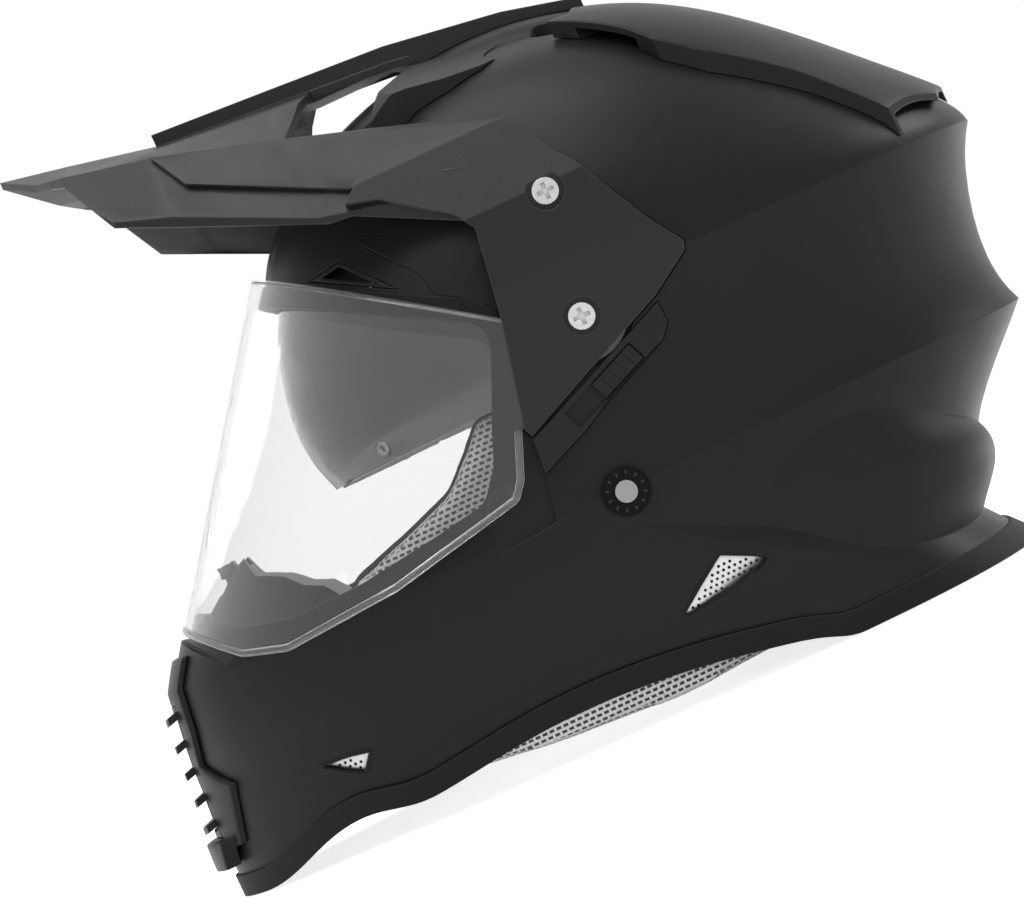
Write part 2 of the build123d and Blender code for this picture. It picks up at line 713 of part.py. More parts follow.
def make_eps_liner():
    foam = body_form(shell_wall + part_gap)
    room = side_prism(pocket_face(pocket_wall + part_gap), pocket_floor_x_inner() - part_gap, helmet_width)
    strap_room = Pos(pocket_floor_x, rivet_y, 0) * Box(strap_room_depth, strap_width + strap_side_gap,
                                                      (rivet_z + strap_width) * 2)
    cheek_room = side_prism(offset(cheek_face(), amount=running_gap), 0, head_half_width)
    pin_room = disc_x(visor_pin_radius + part_gap, -helmet_width, helmet_width, visor_y, visor_z)
    foam = foam.cut(head_form(0), slab_z(-helmet_height, foam_bottom_z), across(outline(foam_port_shares)),
                    pin_room, visor_band(visor_sweep_gap))
    for hollow in (room, strap_room, cheek_room, brow_slider_room()):
        foam = foam.cut(hollow, flipped(hollow))
    return foam


def make_chin_eps():
    band = lower_form(shell_wall + part_gap) - lower_form(shell_wall + chin_foam_thickness)
    foam = (band & slab_z(chin_foam_low_z, chin_foam_high_z)) & slab_y(-helmet_length, chin_foam_back_y)
    opening = offset(outline(chin_opening_shares, front_place), amount=part_gap)
    return foam - front_prism(opening, -helmet_length, grille_back_y() + part_gap)


def make_comfort_liner():
    pad = head_form(running_gap) - head_form(running_gap + pad_thickness)
    pad = pad & slab_z(comfort_low_z, helmet_height)
    grooves = [head_form(running_gap + pad_thickness - channel_depth) & line for line in liner_channels()]
    return pad.cut(across(offset(outline(foam_port_shares), amount=running_gap)), *grooves)


def liner_channels():
    """Walls that mark the sewn channels: three along the crown and two across it."""
    walls = []
    for step in (-1, 0, 1):
        along = Box(channel_width, helmet_length * 2, helmet_height * 2)
        walls.append(Pos(step * head_half_width * channel_place_share, 0, 0) * along)
    for step in (0, 1):
        cross = Box(helmet_width, channel_width, helmet_height * 2)
        walls.append(Pos(0, head_back_y * channel_place_share * (1 + step), 0) * cross)
    return walls


def cheek_face():
    """The cheek pad's outline with its corners rounded."""
    return offset(offset(outline(cheek_shares), amount=-cheek_round), amount=cheek_round)


def cheek_dome(inset):
    """The crowned form of a cheek pad's inner face, thinner towards its edges."""
    sizes = (cheek_dome_x - inset, cheek_dome_y - inset, cheek_dome_z - inset)
    place = Pos(head_half_width - running_gap, cheek_dome_mid_y, cheek_dome_mid_z)
    return place * scale(Sphere(1), by=sizes)


def make_cheek_pad():
    pad = side_prism(cheek_face(), 0, head_half_width - running_gap) & cheek_dome(0)
    inset = shell_wall + chin_foam_thickness + running_gap
    beside = lower_form(inset).fuse(form(body_side_shares, inset))
    low = slab_z(-helmet_height, chin_foam_low_z - running_gap)
    under = lower_form(shell_wall + trim_proud + running_gap) & low
    pad = pad & (beside + under)
    slot = Box(helmet_width / 2, strap_width + strap_side_gap, strap_thickness + running_gap * 2)
    slot = Pos(head_half_width / 2, rivet_y, strap_pass_z) * slot
    channels = [side_prism(outline(shares), 0, helmet_width) - cheek_dome(channel_depth)
                for shares in cheek_channel_shares]
    return pad.cut(slot, *channels)


def neck_room(depth):
    """The space inside the neck roll, narrowest at mid height, set out by `depth`."""
    middle = (neck_low_z + foam_bottom_z) / 2
    half_length = (head_back_y - head_front_y) / 2 * neck_length_share
    wires = []
    for z, share in ((0, neck_lip_share), (middle, 1), (middle * 2, neck_lip_share)):
        inset = neck_swell * share - depth
        wires.append(head_level(z, head_half_width - inset, half_length - inset))
    return Solid.make_loft(wires)


def make_neck_roll():
    """A roll with a swollen inner face and sewn channels."""
    roll = body_form(shell_wall + trim_proud + running_gap) - neck_room(0)
    roll = roll & slab_z(neck_low_z, foam_bottom_z - running_gap)
    roll = roll & slab_y(neck_front_y, helmet_length)
    deeper = neck_room(channel_depth)
    channels = []
    for step in (-1, 0, 1):
        wall = Box(channel_width, helmet_length * 2, helmet_height)
        channels.append(Pos(step * head_half_width * channel_place_share, 0, 0) * wall & deeper)
    return roll.cut(*channels)


def make_breath_guard():
    room = guard_block(guard_wall)
    return guard_block(0).cut(room, Pos(0, 0, -guard_drop) * room, chin_lever_room())


def guard_block(inset):
    """The guard's outside, or the room under it, set in by `inset`."""
    side = offset(outline(guard_side_shares), amount=-inset)
    front = offset(outline(guard_front_shares, front_place), amount=-inset)
    block = across(side) & front_prism(front, -helmet_length, 0)
    block = block & shield_tube(shield_thickness + guard_gap + inset)
    return block & body_form(gasket_depth + part_gap + inset)


def chin_lever_place():
    return side_place(chin_lever_share)


def chin_lever_room():
    """The slot that the chin vent's lever slides in, and the notch for its head."""
    y, z = chin_lever_place()
    y = y + chin_lever_travel / 2
    room = chin_lever_travel + running_gap * 2
    stem = Box(chin_lever_width + running_gap * 2, chin_lever_depth + room, chin_lever_height + running_gap)
    head = Box(chin_lever_head_width + running_gap * 2, chin_lever_head_depth + room, cut_overrun)
    return Pos(0, y, z - (chin_lever_height + running_gap) / 2) * stem + Pos(
        0, y, z - running_gap + cut_overrun / 2) * head


def make_chin_vent_lever():
    y, z = chin_lever_place()
    stem = Pos(0, y, z - chin_lever_height / 2) * Box(chin_lever_width, chin_lever_depth, chin_lever_height)
    head = Pos(0, y, z + chin_lever_head_height / 2) * Box(chin_lever_head_width, chin_lever_head_depth,
                                                           chin_lever_head_height)
    return stem + head


def make_chin_cap():
    skin = lower_form(-cap_proud).fuse(form(body_side_shares, -cap_proud))
    skin = skin - lower_form(-part_gap).fuse(form(body_side_shares, -part_gap))
    back = -chin_back_share * helmet_length
    plate = skin & front_prism(outline(chin_cap_shares, front_place), -helmet_length, back)
    plate = plate.cut(grille_room(), across(offset(outline(port_step_shares), amount=part_gap)))
    lip = form(body_low_shares, -lip_proud) - form(body_low_shares, -trim_proud - part_gap)
    return plate + (lip & front_prism(outline(chin_lip_shares, front_place), -helmet_length, back))


def grille_back_y():
    return -helmet_length / 2 + grille_depth + cap_proud


def make_chin_grille():
    """Louvres one over another in a frame, their front edges curved like the chin."""
    y_back = grille_back_y()
    top = chin_opening_shares[0][1] * helmet_height - part_gap
    bottom = chin_opening_shares[3][1] * helmet_height + part_gap
    pitch = (top - bottom) / louvre_count
    opening = offset(outline(chin_opening_shares, front_place), amount=-part_gap)
    block = front_prism(opening, -helmet_length, y_back)
    front = lower_form(-grille_proud) & block
    frame_hole = front_prism(offset(opening, amount=-louvre_thickness), -helmet_length, helmet_length)
    frame = (lower_form(-cap_proud) & block) - frame_hole
    blades = []
    for step in range(louvre_count):
        z = top - pitch * step
        profile = polygon([(-helmet_length / 2 - grille_proud, z - pitch), (y_back, z - louvre_thickness),
                           (y_back, z), (-helmet_length / 2 - grille_proud, z - pitch + louvre_thickness)])
        blades.append(across(profile) & front)
    return frame.fuse(*blades)


def mesh_plate(shares):
    """A perforated plate in a side opening, set under the surface."""
    face = outline(shares)
    plate = through_body(face, side_cut_x(), mesh_depth, mesh_depth + mesh_thickness)
    box = face.bounding_box()
    holes = []
    row_pitch = mesh_pitch * math.sin(math.radians(60))
    rows = int(box.size.Y / row_pitch) + 1
    columns = int(box.size.X / mesh_pitch) + 1
    inside = offset(face, amount=-mesh_border)
    for row in range(rows):
        for column in range(columns):
            y = box.min.X + (column + row % 2 / 2) * mesh_pitch
            z = box.min.Y + row * row_pitch
            if inside.is_inside(Vector(y, z, 0)):
                hole = Pos(y, z) * RegularPolygon(mesh_hole_radius, 6)
                holes.append(side_prism(hole, side_cut_x(), helmet_width))
    return plate.cut(*holes)


def make_brow_vent_frame():
    face = outline(brow_vent_shares)
    frame = through_body(offset(face, amount=-part_gap), side_cut_x(), -frame_proud, shell_wall - part_gap)
    return frame - side_prism(offset(face, amount=-frame_border), side_cut_x(), helmet_width)


def brow_slider_face(grow):
    """The outline of the shutter behind a brow vent, larger than the frame's hole."""
    return offset(outline(brow_vent_shares), amount=brow_slider_overlap - frame_border + grow)


def make_brow_vent_slider():
    """A plate behind the shell's wall, shut at rest, that slides up."""
    inner = shell_wall + brow_slider_gap
    return through_body(brow_slider_face(0), side_cut_x(), inner, inner + brow_slider_thickness)


def brow_slider_room():
    """The room that the shutter needs in the foam."""
    half = brow_slider_travel / 2
    face = Pos(0, half) * brow_slider_face(half + running_gap)
    return through_body(face, side_cut_x(), 0, shell_wall + brow_slider_thickness + brow_slider_gap * 3)


def raised_cover(plan_shares, rise, wall, duct_shares):
    """A moulded cover that stands on the crown's left side, hollow and open at its ends."""
    body = form(body_crown_shares, -rise) - form(body_crown_shares, -part_gap)
    low, high = cover_low_share * helmet_height, cover_high_share * helmet_height
    cover = body & top_prism(outline(plan_shares, top_place), low, high)
    duct = form(body_crown_shares, -rise + wall) & top_prism(outline(duct_shares, top_place), low, high)
    return cover.cut(duct, form(crest_shares, -part_gap))


def peak_shadow():
    """Everything in the peak's plan from just under its roof upwards."""
    low, high = roof_base_share * helmet_height, cover_high_share * helmet_height
    under = peak_thickness + part_gap * 2
    window = offset(outline(window_plan_shares, top_place), amount=-part_gap * 2)
    plan = peak_plan() - window - flipped(window)
    return top_prism(plan, low, high) - roof(-under, -under / 2)


def intake_ramp(drop):
    """Everything under the fin's ramp, lowered by `drop`."""
    first, second, third = [Vector(*place) for place in intake_ramp_places]
    ramp = Plane(origin=first, x_dir=second - first, z_dir=(second - first).cross(third - first) * -1)
    if ramp.z_dir.Z < 0:
        ramp = Plane(origin=first, x_dir=second - first, z_dir=ramp.z_dir * -1)
    block = Box(helmet_length, helmet_length, helmet_height, align=(Align.CENTER, Align.CENTER, Align.MAX))
    return Pos(0, 0, -drop) * (ramp * block)


def make_crown_intake():
    """A fin whose top ramps down to the crown behind, hollow and open to the front."""
    body = form(body_crown_shares, -intake_rise) & intake_ramp(0)
    low, high = cover_low_share * helmet_height, cover_high_share * helmet_height
    fin = body & top_prism(outline(intake_plan_shares, top_place), low, high)
    duct = form(body_crown_shares, -intake_rise + vent_wall) & intake_ramp(vent_wall)
    duct = duct & top_prism(outline(intake_duct_shares, top_place), low, high)
    crown = form(body_crown_shares, -part_gap)
    return only(fin.cut(duct, crown, form(crest_shares, -part_gap), peak_shadow()))


def roof(raise_by, side_by):
    """The peak's roof as a solid block: ruled between stations, down to a flat base."""
    wires = []
    base = roof_base_share * helmet_height
    for y, middle, *corners in peak_stations_shares:
        places = [(0, middle * helmet_height + raise_by)]
        for corner in corners:
            x, z = front_place(corner)
            places.append((x + side_by, z + raise_by))
        places.append((places[-1][0], base))
        left = [(-x, z) for x, z in reversed(places[1:])]
        wires.append(Wire.make_polygon([(x, y * helmet_length, z) for x, z in places + left], close=True))
    return Solid.make_loft(wires, ruled=True)


def peak_plan():
    right = [top_place(share) for share in peak_plan_shares]
    left = [(-x, y) for x, y in reversed(right[1:-1])]
    return polygon(right + left)


def make_peak():
    thin = peak_thickness
    skin = roof(0, 0) - roof(-thin, -thin / 2)
    high = cover_high_share * helmet_height
    top = skin & top_prism(peak_plan(), roof_base_share * helmet_height, high)
    top = top & across(outline(wing_side_shares))
    window = top_prism(outline(window_plan_shares, top_place), roof_base_share * helmet_height, high)
    top = top.cut(window, flipped(window))
    spine = side_prism(outline(spine_shares + spine_low_shares), -spine_half_width, spine_half_width)
    blade = roof(blade_raise, blade_raise) - roof(-thin / 2, -thin / 2)
    blade = blade & side_prism(outline(blade_side_shares), side_cut_x(), helmet_width)
    profile_out = [front_place(share) for share in arm_profile_shares]
    profile_in = [(x - thin, z - thin * lean) for (x, z), lean in zip(profile_out, arm_lean_shares)]
    band = front_prism(polygon(profile_out + profile_in[::-1]), -helmet_length, helmet_length)
    arm = band & side_prism(arm_face(), side_cut_x(), helmet_width)
    peak = top.fuse(spine, blade, flipped(blade), arm, flipped(arm))
    crown = form(body_crown_shares, -part_gap) & slab_z(pocket_high_share * helmet_height, helmet_height * 2)
    peak = peak.cut(crown, form(crest_shares, -part_gap))
    recess = disc_x(screw_recess_radius, arm_outer_x() - screw_recess_depth, helmet_width, pivot_y, pivot_z)
    high_recess = disc_x(screw_recess_radius, side_screw_x() - screw_recess_depth, helmet_width, side_screw_y,
                         side_screw_z)
    shank = disc_x(screw_shank_radius, -helmet_width, helmet_width, pivot_y, pivot_z)
    high_shank = disc_x(screw_shank_radius, -helmet_width, helmet_width, side_screw_y, side_screw_z)
    top_shank = Pos(0, top_screw_y, helmet_height) * Cylinder(screw_shank_radius, cut_overrun)
    top_recess = Cylinder(screw_recess_radius, cut_overrun, align=(Align.CENTER, Align.CENTER, Align.MIN))
    top_recess = Pos(0, top_screw_y, top_seat_z()) * top_recess
    return peak.cut(recess, flipped(recess), high_recess, flipped(high_recess), shank, high_shank, top_shank,
                    top_recess)


def top_seat_z():
    return top_screw_z - screw_recess_depth


def arm_outer_x():
    return arm_profile_shares[0][0] * helmet_width / 2


def side_screw_x():
    """Where the arm's outer face stands at the upper screw."""
    (x_low, z_low), (x_high, z_high) = (front_place(share) for share in arm_profile_shares[1:3])
    return x_low + (x_high - x_low) * (side_screw_z - z_low) / (z_high - z_low)


def cross_screw(length):
    """A screw that lies along Z with its head up, the underside of the head at the origin."""
    head = Pos(0, 0, screw_head_height / 2) * Cylinder(screw_head_radius, screw_head_height)
    head = head + Pos(0, 0, -length / 2) * Cylinder(screw_shank_radius, length)
    slot = Box(screw_slot_length, screw_slot_width, screw_slot_depth * 2)
    cross = slot + Rot(0, 0, 90) * slot
    return head - Pos(0, 0, screw_head_height) * cross


def side_screw(x, y, z, length):
    return Pos(x, y, z) * Rot(0, 90, 0) * cross_screw(length)


def make_pivot_plate():
    top = pocket_floor_x + plate_thickness
    plate = disc_x(arm_radius, pocket_floor_x, top, pivot_y, pivot_z)
    boss = disc_x(boss_radius, pocket_floor_x, arm_x(), pivot_y, pivot_z)
    bore = disc_x(screw_shank_radius, -helmet_width, helmet_width, pivot_y, pivot_z)
    return (plate + boss) - bore


def make_face_shield():
    skin = shield_tube(0) - shield_tube(shield_thickness)
    face = outline(shield_shares) + Pos(pivot_y, pivot_z) * Circle(arm_radius)
    shield = skin & across(face)
    bore = disc_x(boss_radius + part_gap, -helmet_width, helmet_width, pivot_y, pivot_z)
    return shield - bore


def make_sun_visor():
    nose = front_prism(outline(visor_nose_shares, front_place), -helmet_length, visor_y - visor_radius / 2)
    lens = visor_band(0) & across(outline(visor_side_shares))
    bore = disc_x(visor_pin_radius + part_gap, -helmet_width, helmet_width, visor_y, visor_z)
    return lens.cut(nose, bore)


def make_visor_pin():
    return disc_x(visor_pin_radius, visor_half_width - visor_pin_overlap, pocket_floor_x, visor_y, visor_z)


def slider_direction():
    (y_low, z_low), (y_high, z_high) = (side_place(share) for share in (slider_shares[1], slider_shares[2]))
    return math.degrees(math.atan2(z_high - z_low, y_high - y_low))


def slider_frame(travel):
    """A place on the slot's middle line in the side view, `travel` up from the knob at rest."""
    y, z = side_place(slider_knob_share)
    turn = math.radians(slider_direction())
    return (y + travel * math.cos(turn), z + travel * math.sin(turn))


def make_slider_housing():
    plate = side_prism(slider_face(0), slider_floor_x, slider_top_x)
    y, z = slider_frame(-slider_travel / 2)
    slot_length = slider_knob_length + slider_travel + running_gap * 2
    slot = Rectangle(slot_length, slider_knob_width + running_gap * 2)
    slot = Pos(y, z) * Rot(0, 0, slider_direction()) * slot
    return plate - side_prism(slot, slider_floor_x + slider_web, helmet_width)


def make_slider_knob():
    y, z = slider_frame(0)
    flat = Pos(y, z) * Rot(0, 0, slider_direction()) * Rectangle(slider_knob_length, slider_knob_width)
    knob = side_prism(flat, slider_floor_x + slider_web + running_gap, slider_top_x + slider_knob_proud)
    for step in range(slider_rib_count):
        along = (step - (slider_rib_count - 1) / 2) * slider_knob_length / (slider_rib_count + 1)
        place = Pos(y, z) * Rot(0, 0, slider_direction()) * Pos(along, 0)
        groove = place * Rectangle(slider_rib_gap, slider_knob_width * 2)
        knob = knob - side_prism(groove, slider_top_x, helmet_width)
    return knob


def strap_line():
    """The strap's middle line from its rivet to the buckle, across (X) and up (Z)."""
    return [(strap_top_x, rivet_z + strap_width / 2), (strap_outer_x, strap_knee_z),
            (head_half_width + strap_head_gap, strap_pass_z), (buckle_length / 2 + part_gap, strap_pass_z)]


def make_strap():
    path = FilletPolyline(*strap_line(), radius=strap_bend_radius)
    band = trace(path, line_width=strap_thickness)
    strap = front_prism(band, rivet_y - strap_width / 2, rivet_y + strap_width / 2)
    return strap - disc_x(rivet_shank_radius, 0, helmet_width, rivet_y, rivet_z)


def make_rivet():
    head = disc_x(rivet_head_radius, rivet_face_x, rivet_face_x + washer_height, rivet_y, rivet_z)
    foot_x = rivet_face_x - rivet_length - strap_thickness
    shank = disc_x(rivet_shank_radius, foot_x - strap_thickness, rivet_face_x, rivet_y, rivet_z)
    foot = disc_x(rivet_head_radius, foot_x - strap_thickness, foot_x, rivet_y, rivet_z)
    return head + shank + foot


def make_washer():
    low = rivet_face_x - part_gap
    ring = disc_x(washer_radius, low, low + washer_height, rivet_y, rivet_z)
    return ring - disc_x(rivet_head_radius, -helmet_width, helmet_width, rivet_y, rivet_z)


def buckle_frame():
    return Pos(0, rivet_y, strap_pass_z)


def make_buckle_housing():
    """A tray for the toothed tongue, with side walls that hold the lever's pin."""
    wall = strap_thickness
    tray = Box(buckle_length, buckle_width, buckle_height)
    room = Pos(wall, 0, wall) * Box(buckle_length, buckle_width - wall * 2, buckle_height)
    pin = Pos(buckle_pin_x, 0, buckle_height / 2 - wall) * Rot(90, 0, 0) * Cylinder(wall / 2, buckle_width)
    return buckle_frame() * ((tray - room) + pin)


def make_buckle_lever():
    """The pull plate over the tongue, turning on the tray's pin."""
    high = buckle_height / 2 - strap_thickness
    width = buckle_width - strap_thickness * 2 - running_gap * 2
    middle = buckle_pin_x + lever_length / 2 - strap_thickness
    plate = Pos(middle, 0, high) * Box(lever_length, width, lever_thickness)
    bore = Cylinder((strap_thickness + part_gap) / 2, buckle_width)
    return buckle_frame() * (plate - Pos(buckle_pin_x, 0, high) * Rot(90, 0, 0) * bore)


def make_buckle_tongue():
    """A strip with ratchet teeth on top, inside the tray."""
    low = -buckle_height / 2 + strap_thickness + part_gap
    top = low + strap_thickness
    length = buckle_length - strap_thickness * 2
    width = buckle_width - strap_thickness * 2 - running_gap * 2
    strip = Pos(strap_thickness / 2 + part_gap, 0, (low + top) / 2) * Box(length, width, strap_thickness)
    for step in range(tongue_tooth_count):
        start = (step - tongue_tooth_count / 2) * tooth_pitch
        tooth = polygon([(start, top), (start + tooth_pitch, top), (start + tooth_pitch, top + tooth_height)])
        strip = strip + front_prism(tooth, -width / 2, width / 2)
    return buckle_frame() * strip



shell = only(make_shell())
keep("shell", shell)
trim = only(make_edge_trim().cut(shell))
keep("edge_trim", trim)
keep("port_gasket", make_port_gasket())
keep("eps_liner", only(make_eps_liner()))
keep("chin_eps", only(make_chin_eps()))
keep("comfort_liner", only(make_comfort_liner()))
cheek_pad = only(make_cheek_pad())
keep("cheek_pad_left", cheek_pad)
keep("cheek_pad_right", flipped(cheek_pad))
keep("neck_roll", only(make_neck_roll()))
keep("breath_guard", only(make_breath_guard()))
keep("chin_vent_lever", make_chin_vent_lever())
keep("chin_cap", only(make_chin_cap()))
keep("chin_grille", make_chin_grille())
for node, shares in (("rear_meshes", mesh_rear_shares), ("chin_meshes", mesh_chin_shares)):
    keep(node, *both_sides(mesh_plate(shares)))
keep("brow_vent_frames", *both_sides(only(make_brow_vent_frame())))
brow_slider = only(make_brow_vent_slider())
keep("brow_vent_slider_left", brow_slider)
keep("brow_vent_slider_right", flipped(brow_slider))
keep("top_vent", *both_sides(only(raised_cover(vent_plan_shares, vent_rise, vent_wall, duct_plan_shares))))
keep("crown_intakes", *both_sides(make_crown_intake()))
keep("peak", only(make_peak()))
high_screw = side_screw(side_screw_x() - screw_recess_depth, side_screw_y, side_screw_z, side_screw_length)
keep("peak_side_screws", *both_sides(high_screw))
keep("peak_top_screw", Pos(0, top_screw_y, top_seat_z()) * cross_screw(top_screw_length))
low_screw = side_screw(arm_outer_x() - screw_recess_depth, pivot_y, pivot_z, pivot_screw_length)
keep("pivot_screws", *both_sides(low_screw))
pivot_plate = make_pivot_plate()
keep("pivot_plate_left", pivot_plate)
keep("pivot_plate_right", flipped(pivot_plate))
keep("face_shield", only(make_face_shield()))
keep("sun_visor", only(make_sun_visor()))
keep("sun_visor_pins", *both_sides(make_visor_pin()))
keep("slider_housing", make_slider_housing())
keep("slider_knob", make_slider_knob())
strap = make_strap()
keep("strap_left", strap)
keep("strap_right", flipped(strap))
keep("strap_rivets", *both_sides(make_rivet()))
keep("rivet_washers", *both_sides(make_washer()))
keep("buckle_housing", make_buckle_housing())
keep("buckle_lever", make_buckle_lever())
keep("buckle_tongue", make_buckle_tongue())
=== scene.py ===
import json
import math

import bmesh
import bpy
import numpy as np
from mathutils import Matrix, Vector
from mathutils.bvhtree import BVHTree


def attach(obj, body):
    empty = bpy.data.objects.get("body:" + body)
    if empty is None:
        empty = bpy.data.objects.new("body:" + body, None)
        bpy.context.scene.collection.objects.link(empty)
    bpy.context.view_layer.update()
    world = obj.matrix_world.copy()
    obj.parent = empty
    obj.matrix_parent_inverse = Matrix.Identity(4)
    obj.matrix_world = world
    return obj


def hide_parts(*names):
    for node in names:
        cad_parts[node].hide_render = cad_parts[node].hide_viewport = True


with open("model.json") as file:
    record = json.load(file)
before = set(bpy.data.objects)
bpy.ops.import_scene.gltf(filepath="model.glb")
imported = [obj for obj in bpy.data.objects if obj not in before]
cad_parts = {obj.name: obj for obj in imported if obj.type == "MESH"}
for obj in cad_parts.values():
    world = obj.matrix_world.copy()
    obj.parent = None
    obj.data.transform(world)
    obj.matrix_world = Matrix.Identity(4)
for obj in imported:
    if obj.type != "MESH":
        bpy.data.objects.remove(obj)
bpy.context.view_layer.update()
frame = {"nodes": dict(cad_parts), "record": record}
scene = bpy.context.scene
nodes = frame["nodes"]
SLOTS = {entry["node"]: entry["material_slot"] for entry in frame["record"]["subparts"]}
MM = 0.001
SIDES = ((1, "left"), (-1, "right"))


def add_object(name, data):
    made = bpy.data.objects.new(name, data)
    scene.collection.objects.link(made)
    return made


# Camera, lights and stage, in metres. The camera looks level at the side of the helmet, and is
# rolled, because the helmet is tilted in the photograph.
CAMERA_PLACE = (1.5, -0.0209, 0.1164)
CAMERA_ROLL = math.radians(25)
CAMERA_LENS = 131.8
CAMERA_SENSOR = 36.0
CAMERA_CLIP = (0.01, 100)
HELMET_MIDDLE = (0, 0, 0.14)
# Name, place, target, size, power in watts, and whether reflections and glass show the light
LIGHTS = (
    ("top_light", (0.3, -0.1, 1.5), HELMET_MIDDLE, (1.3, 1.3), 24, True),
    ("side_light", (1.7, -1.0, 1.0), HELMET_MIDDLE, (0.8, 0.8), 9, False),
    ("back_light", (-0.3, 1.6, 0.9), HELMET_MIDDLE, (0.8, 0.6), 12, True),
    ("front_light", (0.2, -1.6, 0.5), HELMET_MIDDLE, (0.8, 0.8), 7, False),
    ("low_light", (1.3, 0.3, 0.08), (0, 0, 0.06), (1.2, 0.1), 10, False),
)
# How strong the world is as a light, and where it is seen
WORLD_COLOUR = (1, 1, 1, 1)
WORLD_LIGHT = 0.35
WORLD_SEEN = 1.0
FLOOR_REACH = 12.0
FLOOR_DEPTH = 0.0005
FLOOR_COLOUR = (0.8, 0.8, 0.8, 1)
FLOOR_GLOW = 0.8


def add_camera():
    camera = add_object("camera", bpy.data.cameras.new("camera"))
    right = Vector((0, math.cos(CAMERA_ROLL), -math.sin(CAMERA_ROLL)))
    up = Vector((0, math.sin(CAMERA_ROLL), math.cos(CAMERA_ROLL)))
    turn = Matrix((right, up, Vector((1, 0, 0)))).transposed()
    camera.matrix_world = Matrix.Translation(CAMERA_PLACE) @ turn.to_4x4()
    camera.data.lens = CAMERA_LENS
    camera.data.sensor_width = CAMERA_SENSOR
    camera.data.clip_start, camera.data.clip_end = CAMERA_CLIP
    scene.camera = camera


def add_lights():
    for name, place, target, size, power, mirrored in LIGHTS:
        light = add_object(name, bpy.data.lights.new(name, "AREA"))
        light.location = place
        light.rotation_euler = (Vector(target) - Vector(place)).to_track_quat("-Z", "Y").to_euler()
        light.data.shape = "RECTANGLE"
        light.data.size, light.data.size_y = size
        light.data.energy = power
        light.visible_glossy = mirrored
        light.visible_transmission = mirrored


def seen_shader(tree, plain, shown):
    """A shader that is `shown` to the camera, in reflections and through glass, else `plain`."""
    path = tree.nodes.new("ShaderNodeLightPath")
    seen = path.outputs["Is Camera Ray"]
    for ray in ("Is Glossy Ray", "Is Transmission Ray"):
        either = tree.nodes.new("ShaderNodeMath")
        either.operation = "MAXIMUM"
        tree.links.new(seen, either.inputs[0])
        tree.links.new(path.outputs[ray], either.inputs[1])
        seen = either.outputs[0]
    mix = tree.nodes.new("ShaderNodeMixShader")
    for source, socket in zip((seen, plain.outputs[0], shown.outputs[0]), mix.inputs):
        tree.links.new(source, socket)
    return mix


def add_world():
    world = bpy.data.worlds.new("studio")
    scene.world = world
    world.use_nodes = True
    tree = world.node_tree
    tree.nodes.clear()
    backgrounds = []
    for strength in (WORLD_LIGHT, WORLD_SEEN):
        background = tree.nodes.new("ShaderNodeBackground")
        background.inputs["Color"].default_value = WORLD_COLOUR
        background.inputs["Strength"].default_value = strength
        backgrounds.append(background)
    output = tree.nodes.new("ShaderNodeOutputWorld")
    tree.links.new(seen_shader(tree, *backgrounds).outputs[0], output.inputs["Surface"])


def add_floor():
    mesh = bpy.data.meshes.new("floor")
    corners = [(x * FLOOR_REACH, y * FLOOR_REACH, -FLOOR_DEPTH)
               for x, y in ((-1, -1), (1, -1), (1, 1), (-1, 1))]
    mesh.from_pydata(corners, [], [(0, 1, 2, 3)])
    floor = add_object("floor", mesh)
    look = bpy.data.materials.new("floor")
    look.use_nodes = True
    tree = look.node_tree
    tree.nodes.clear()
    plain = tree.nodes.new("ShaderNodeBsdfDiffuse")
    plain.inputs["Color"].default_value = FLOOR_COLOUR
    glow = tree.nodes.new("ShaderNodeEmission")
    glow.inputs["Strength"].default_value = FLOOR_GLOW
    lit = tree.nodes.new("ShaderNodeAddShader")
    tree.links.new(plain.outputs[0], lit.inputs[0])
    tree.links.new(glow.outputs[0], lit.inputs[1])
    output = tree.nodes.new("ShaderNodeOutputMaterial")
    tree.links.new(seen_shader(tree, plain, lit).outputs[0], output.inputs["Surface"])
    mesh.materials.append(look)


# Materials
# How alike the rounded and the plain normal are, where a painted edge highlight starts and where
# it is full
EDGE_ALIKE = (0.995, 0.9)
# How many times lighter the painted highlight along sharp edges makes the colour
EDGE_HIGHLIGHT_SHARE = 3.5
PAINT_VARIATION = 0.12
# Sizes of woven patterns in metres, by the brick texture's sockets
SLITS = {"Scale": 1.0, "Brick Width": 0.0029, "Row Height": 0.0021, "Mortar Size": 0.00074,
         "Mortar Smooth": 0.6}
RIDGES = {"Scale": 1.0, "Brick Width": 0.0022, "Row Height": 0.0011, "Mortar Size": 0.00018}
# The washers' ring of marks: its middle (y, z), radius and half width in mm, the number of marks,
# and the height of the sine wave that each mark is cut from
WASHER_MIDDLE = (10.7, 84.7)
MARKS_RADIUS = 7.0
MARKS_HALF_WIDTH = 0.7
MARKS_COUNT = 12
MARKS_CUT = 0.75


def grey(value):
    return (value, value, value)


def scaled(colour, share):
    return tuple(part * share for part in colour)


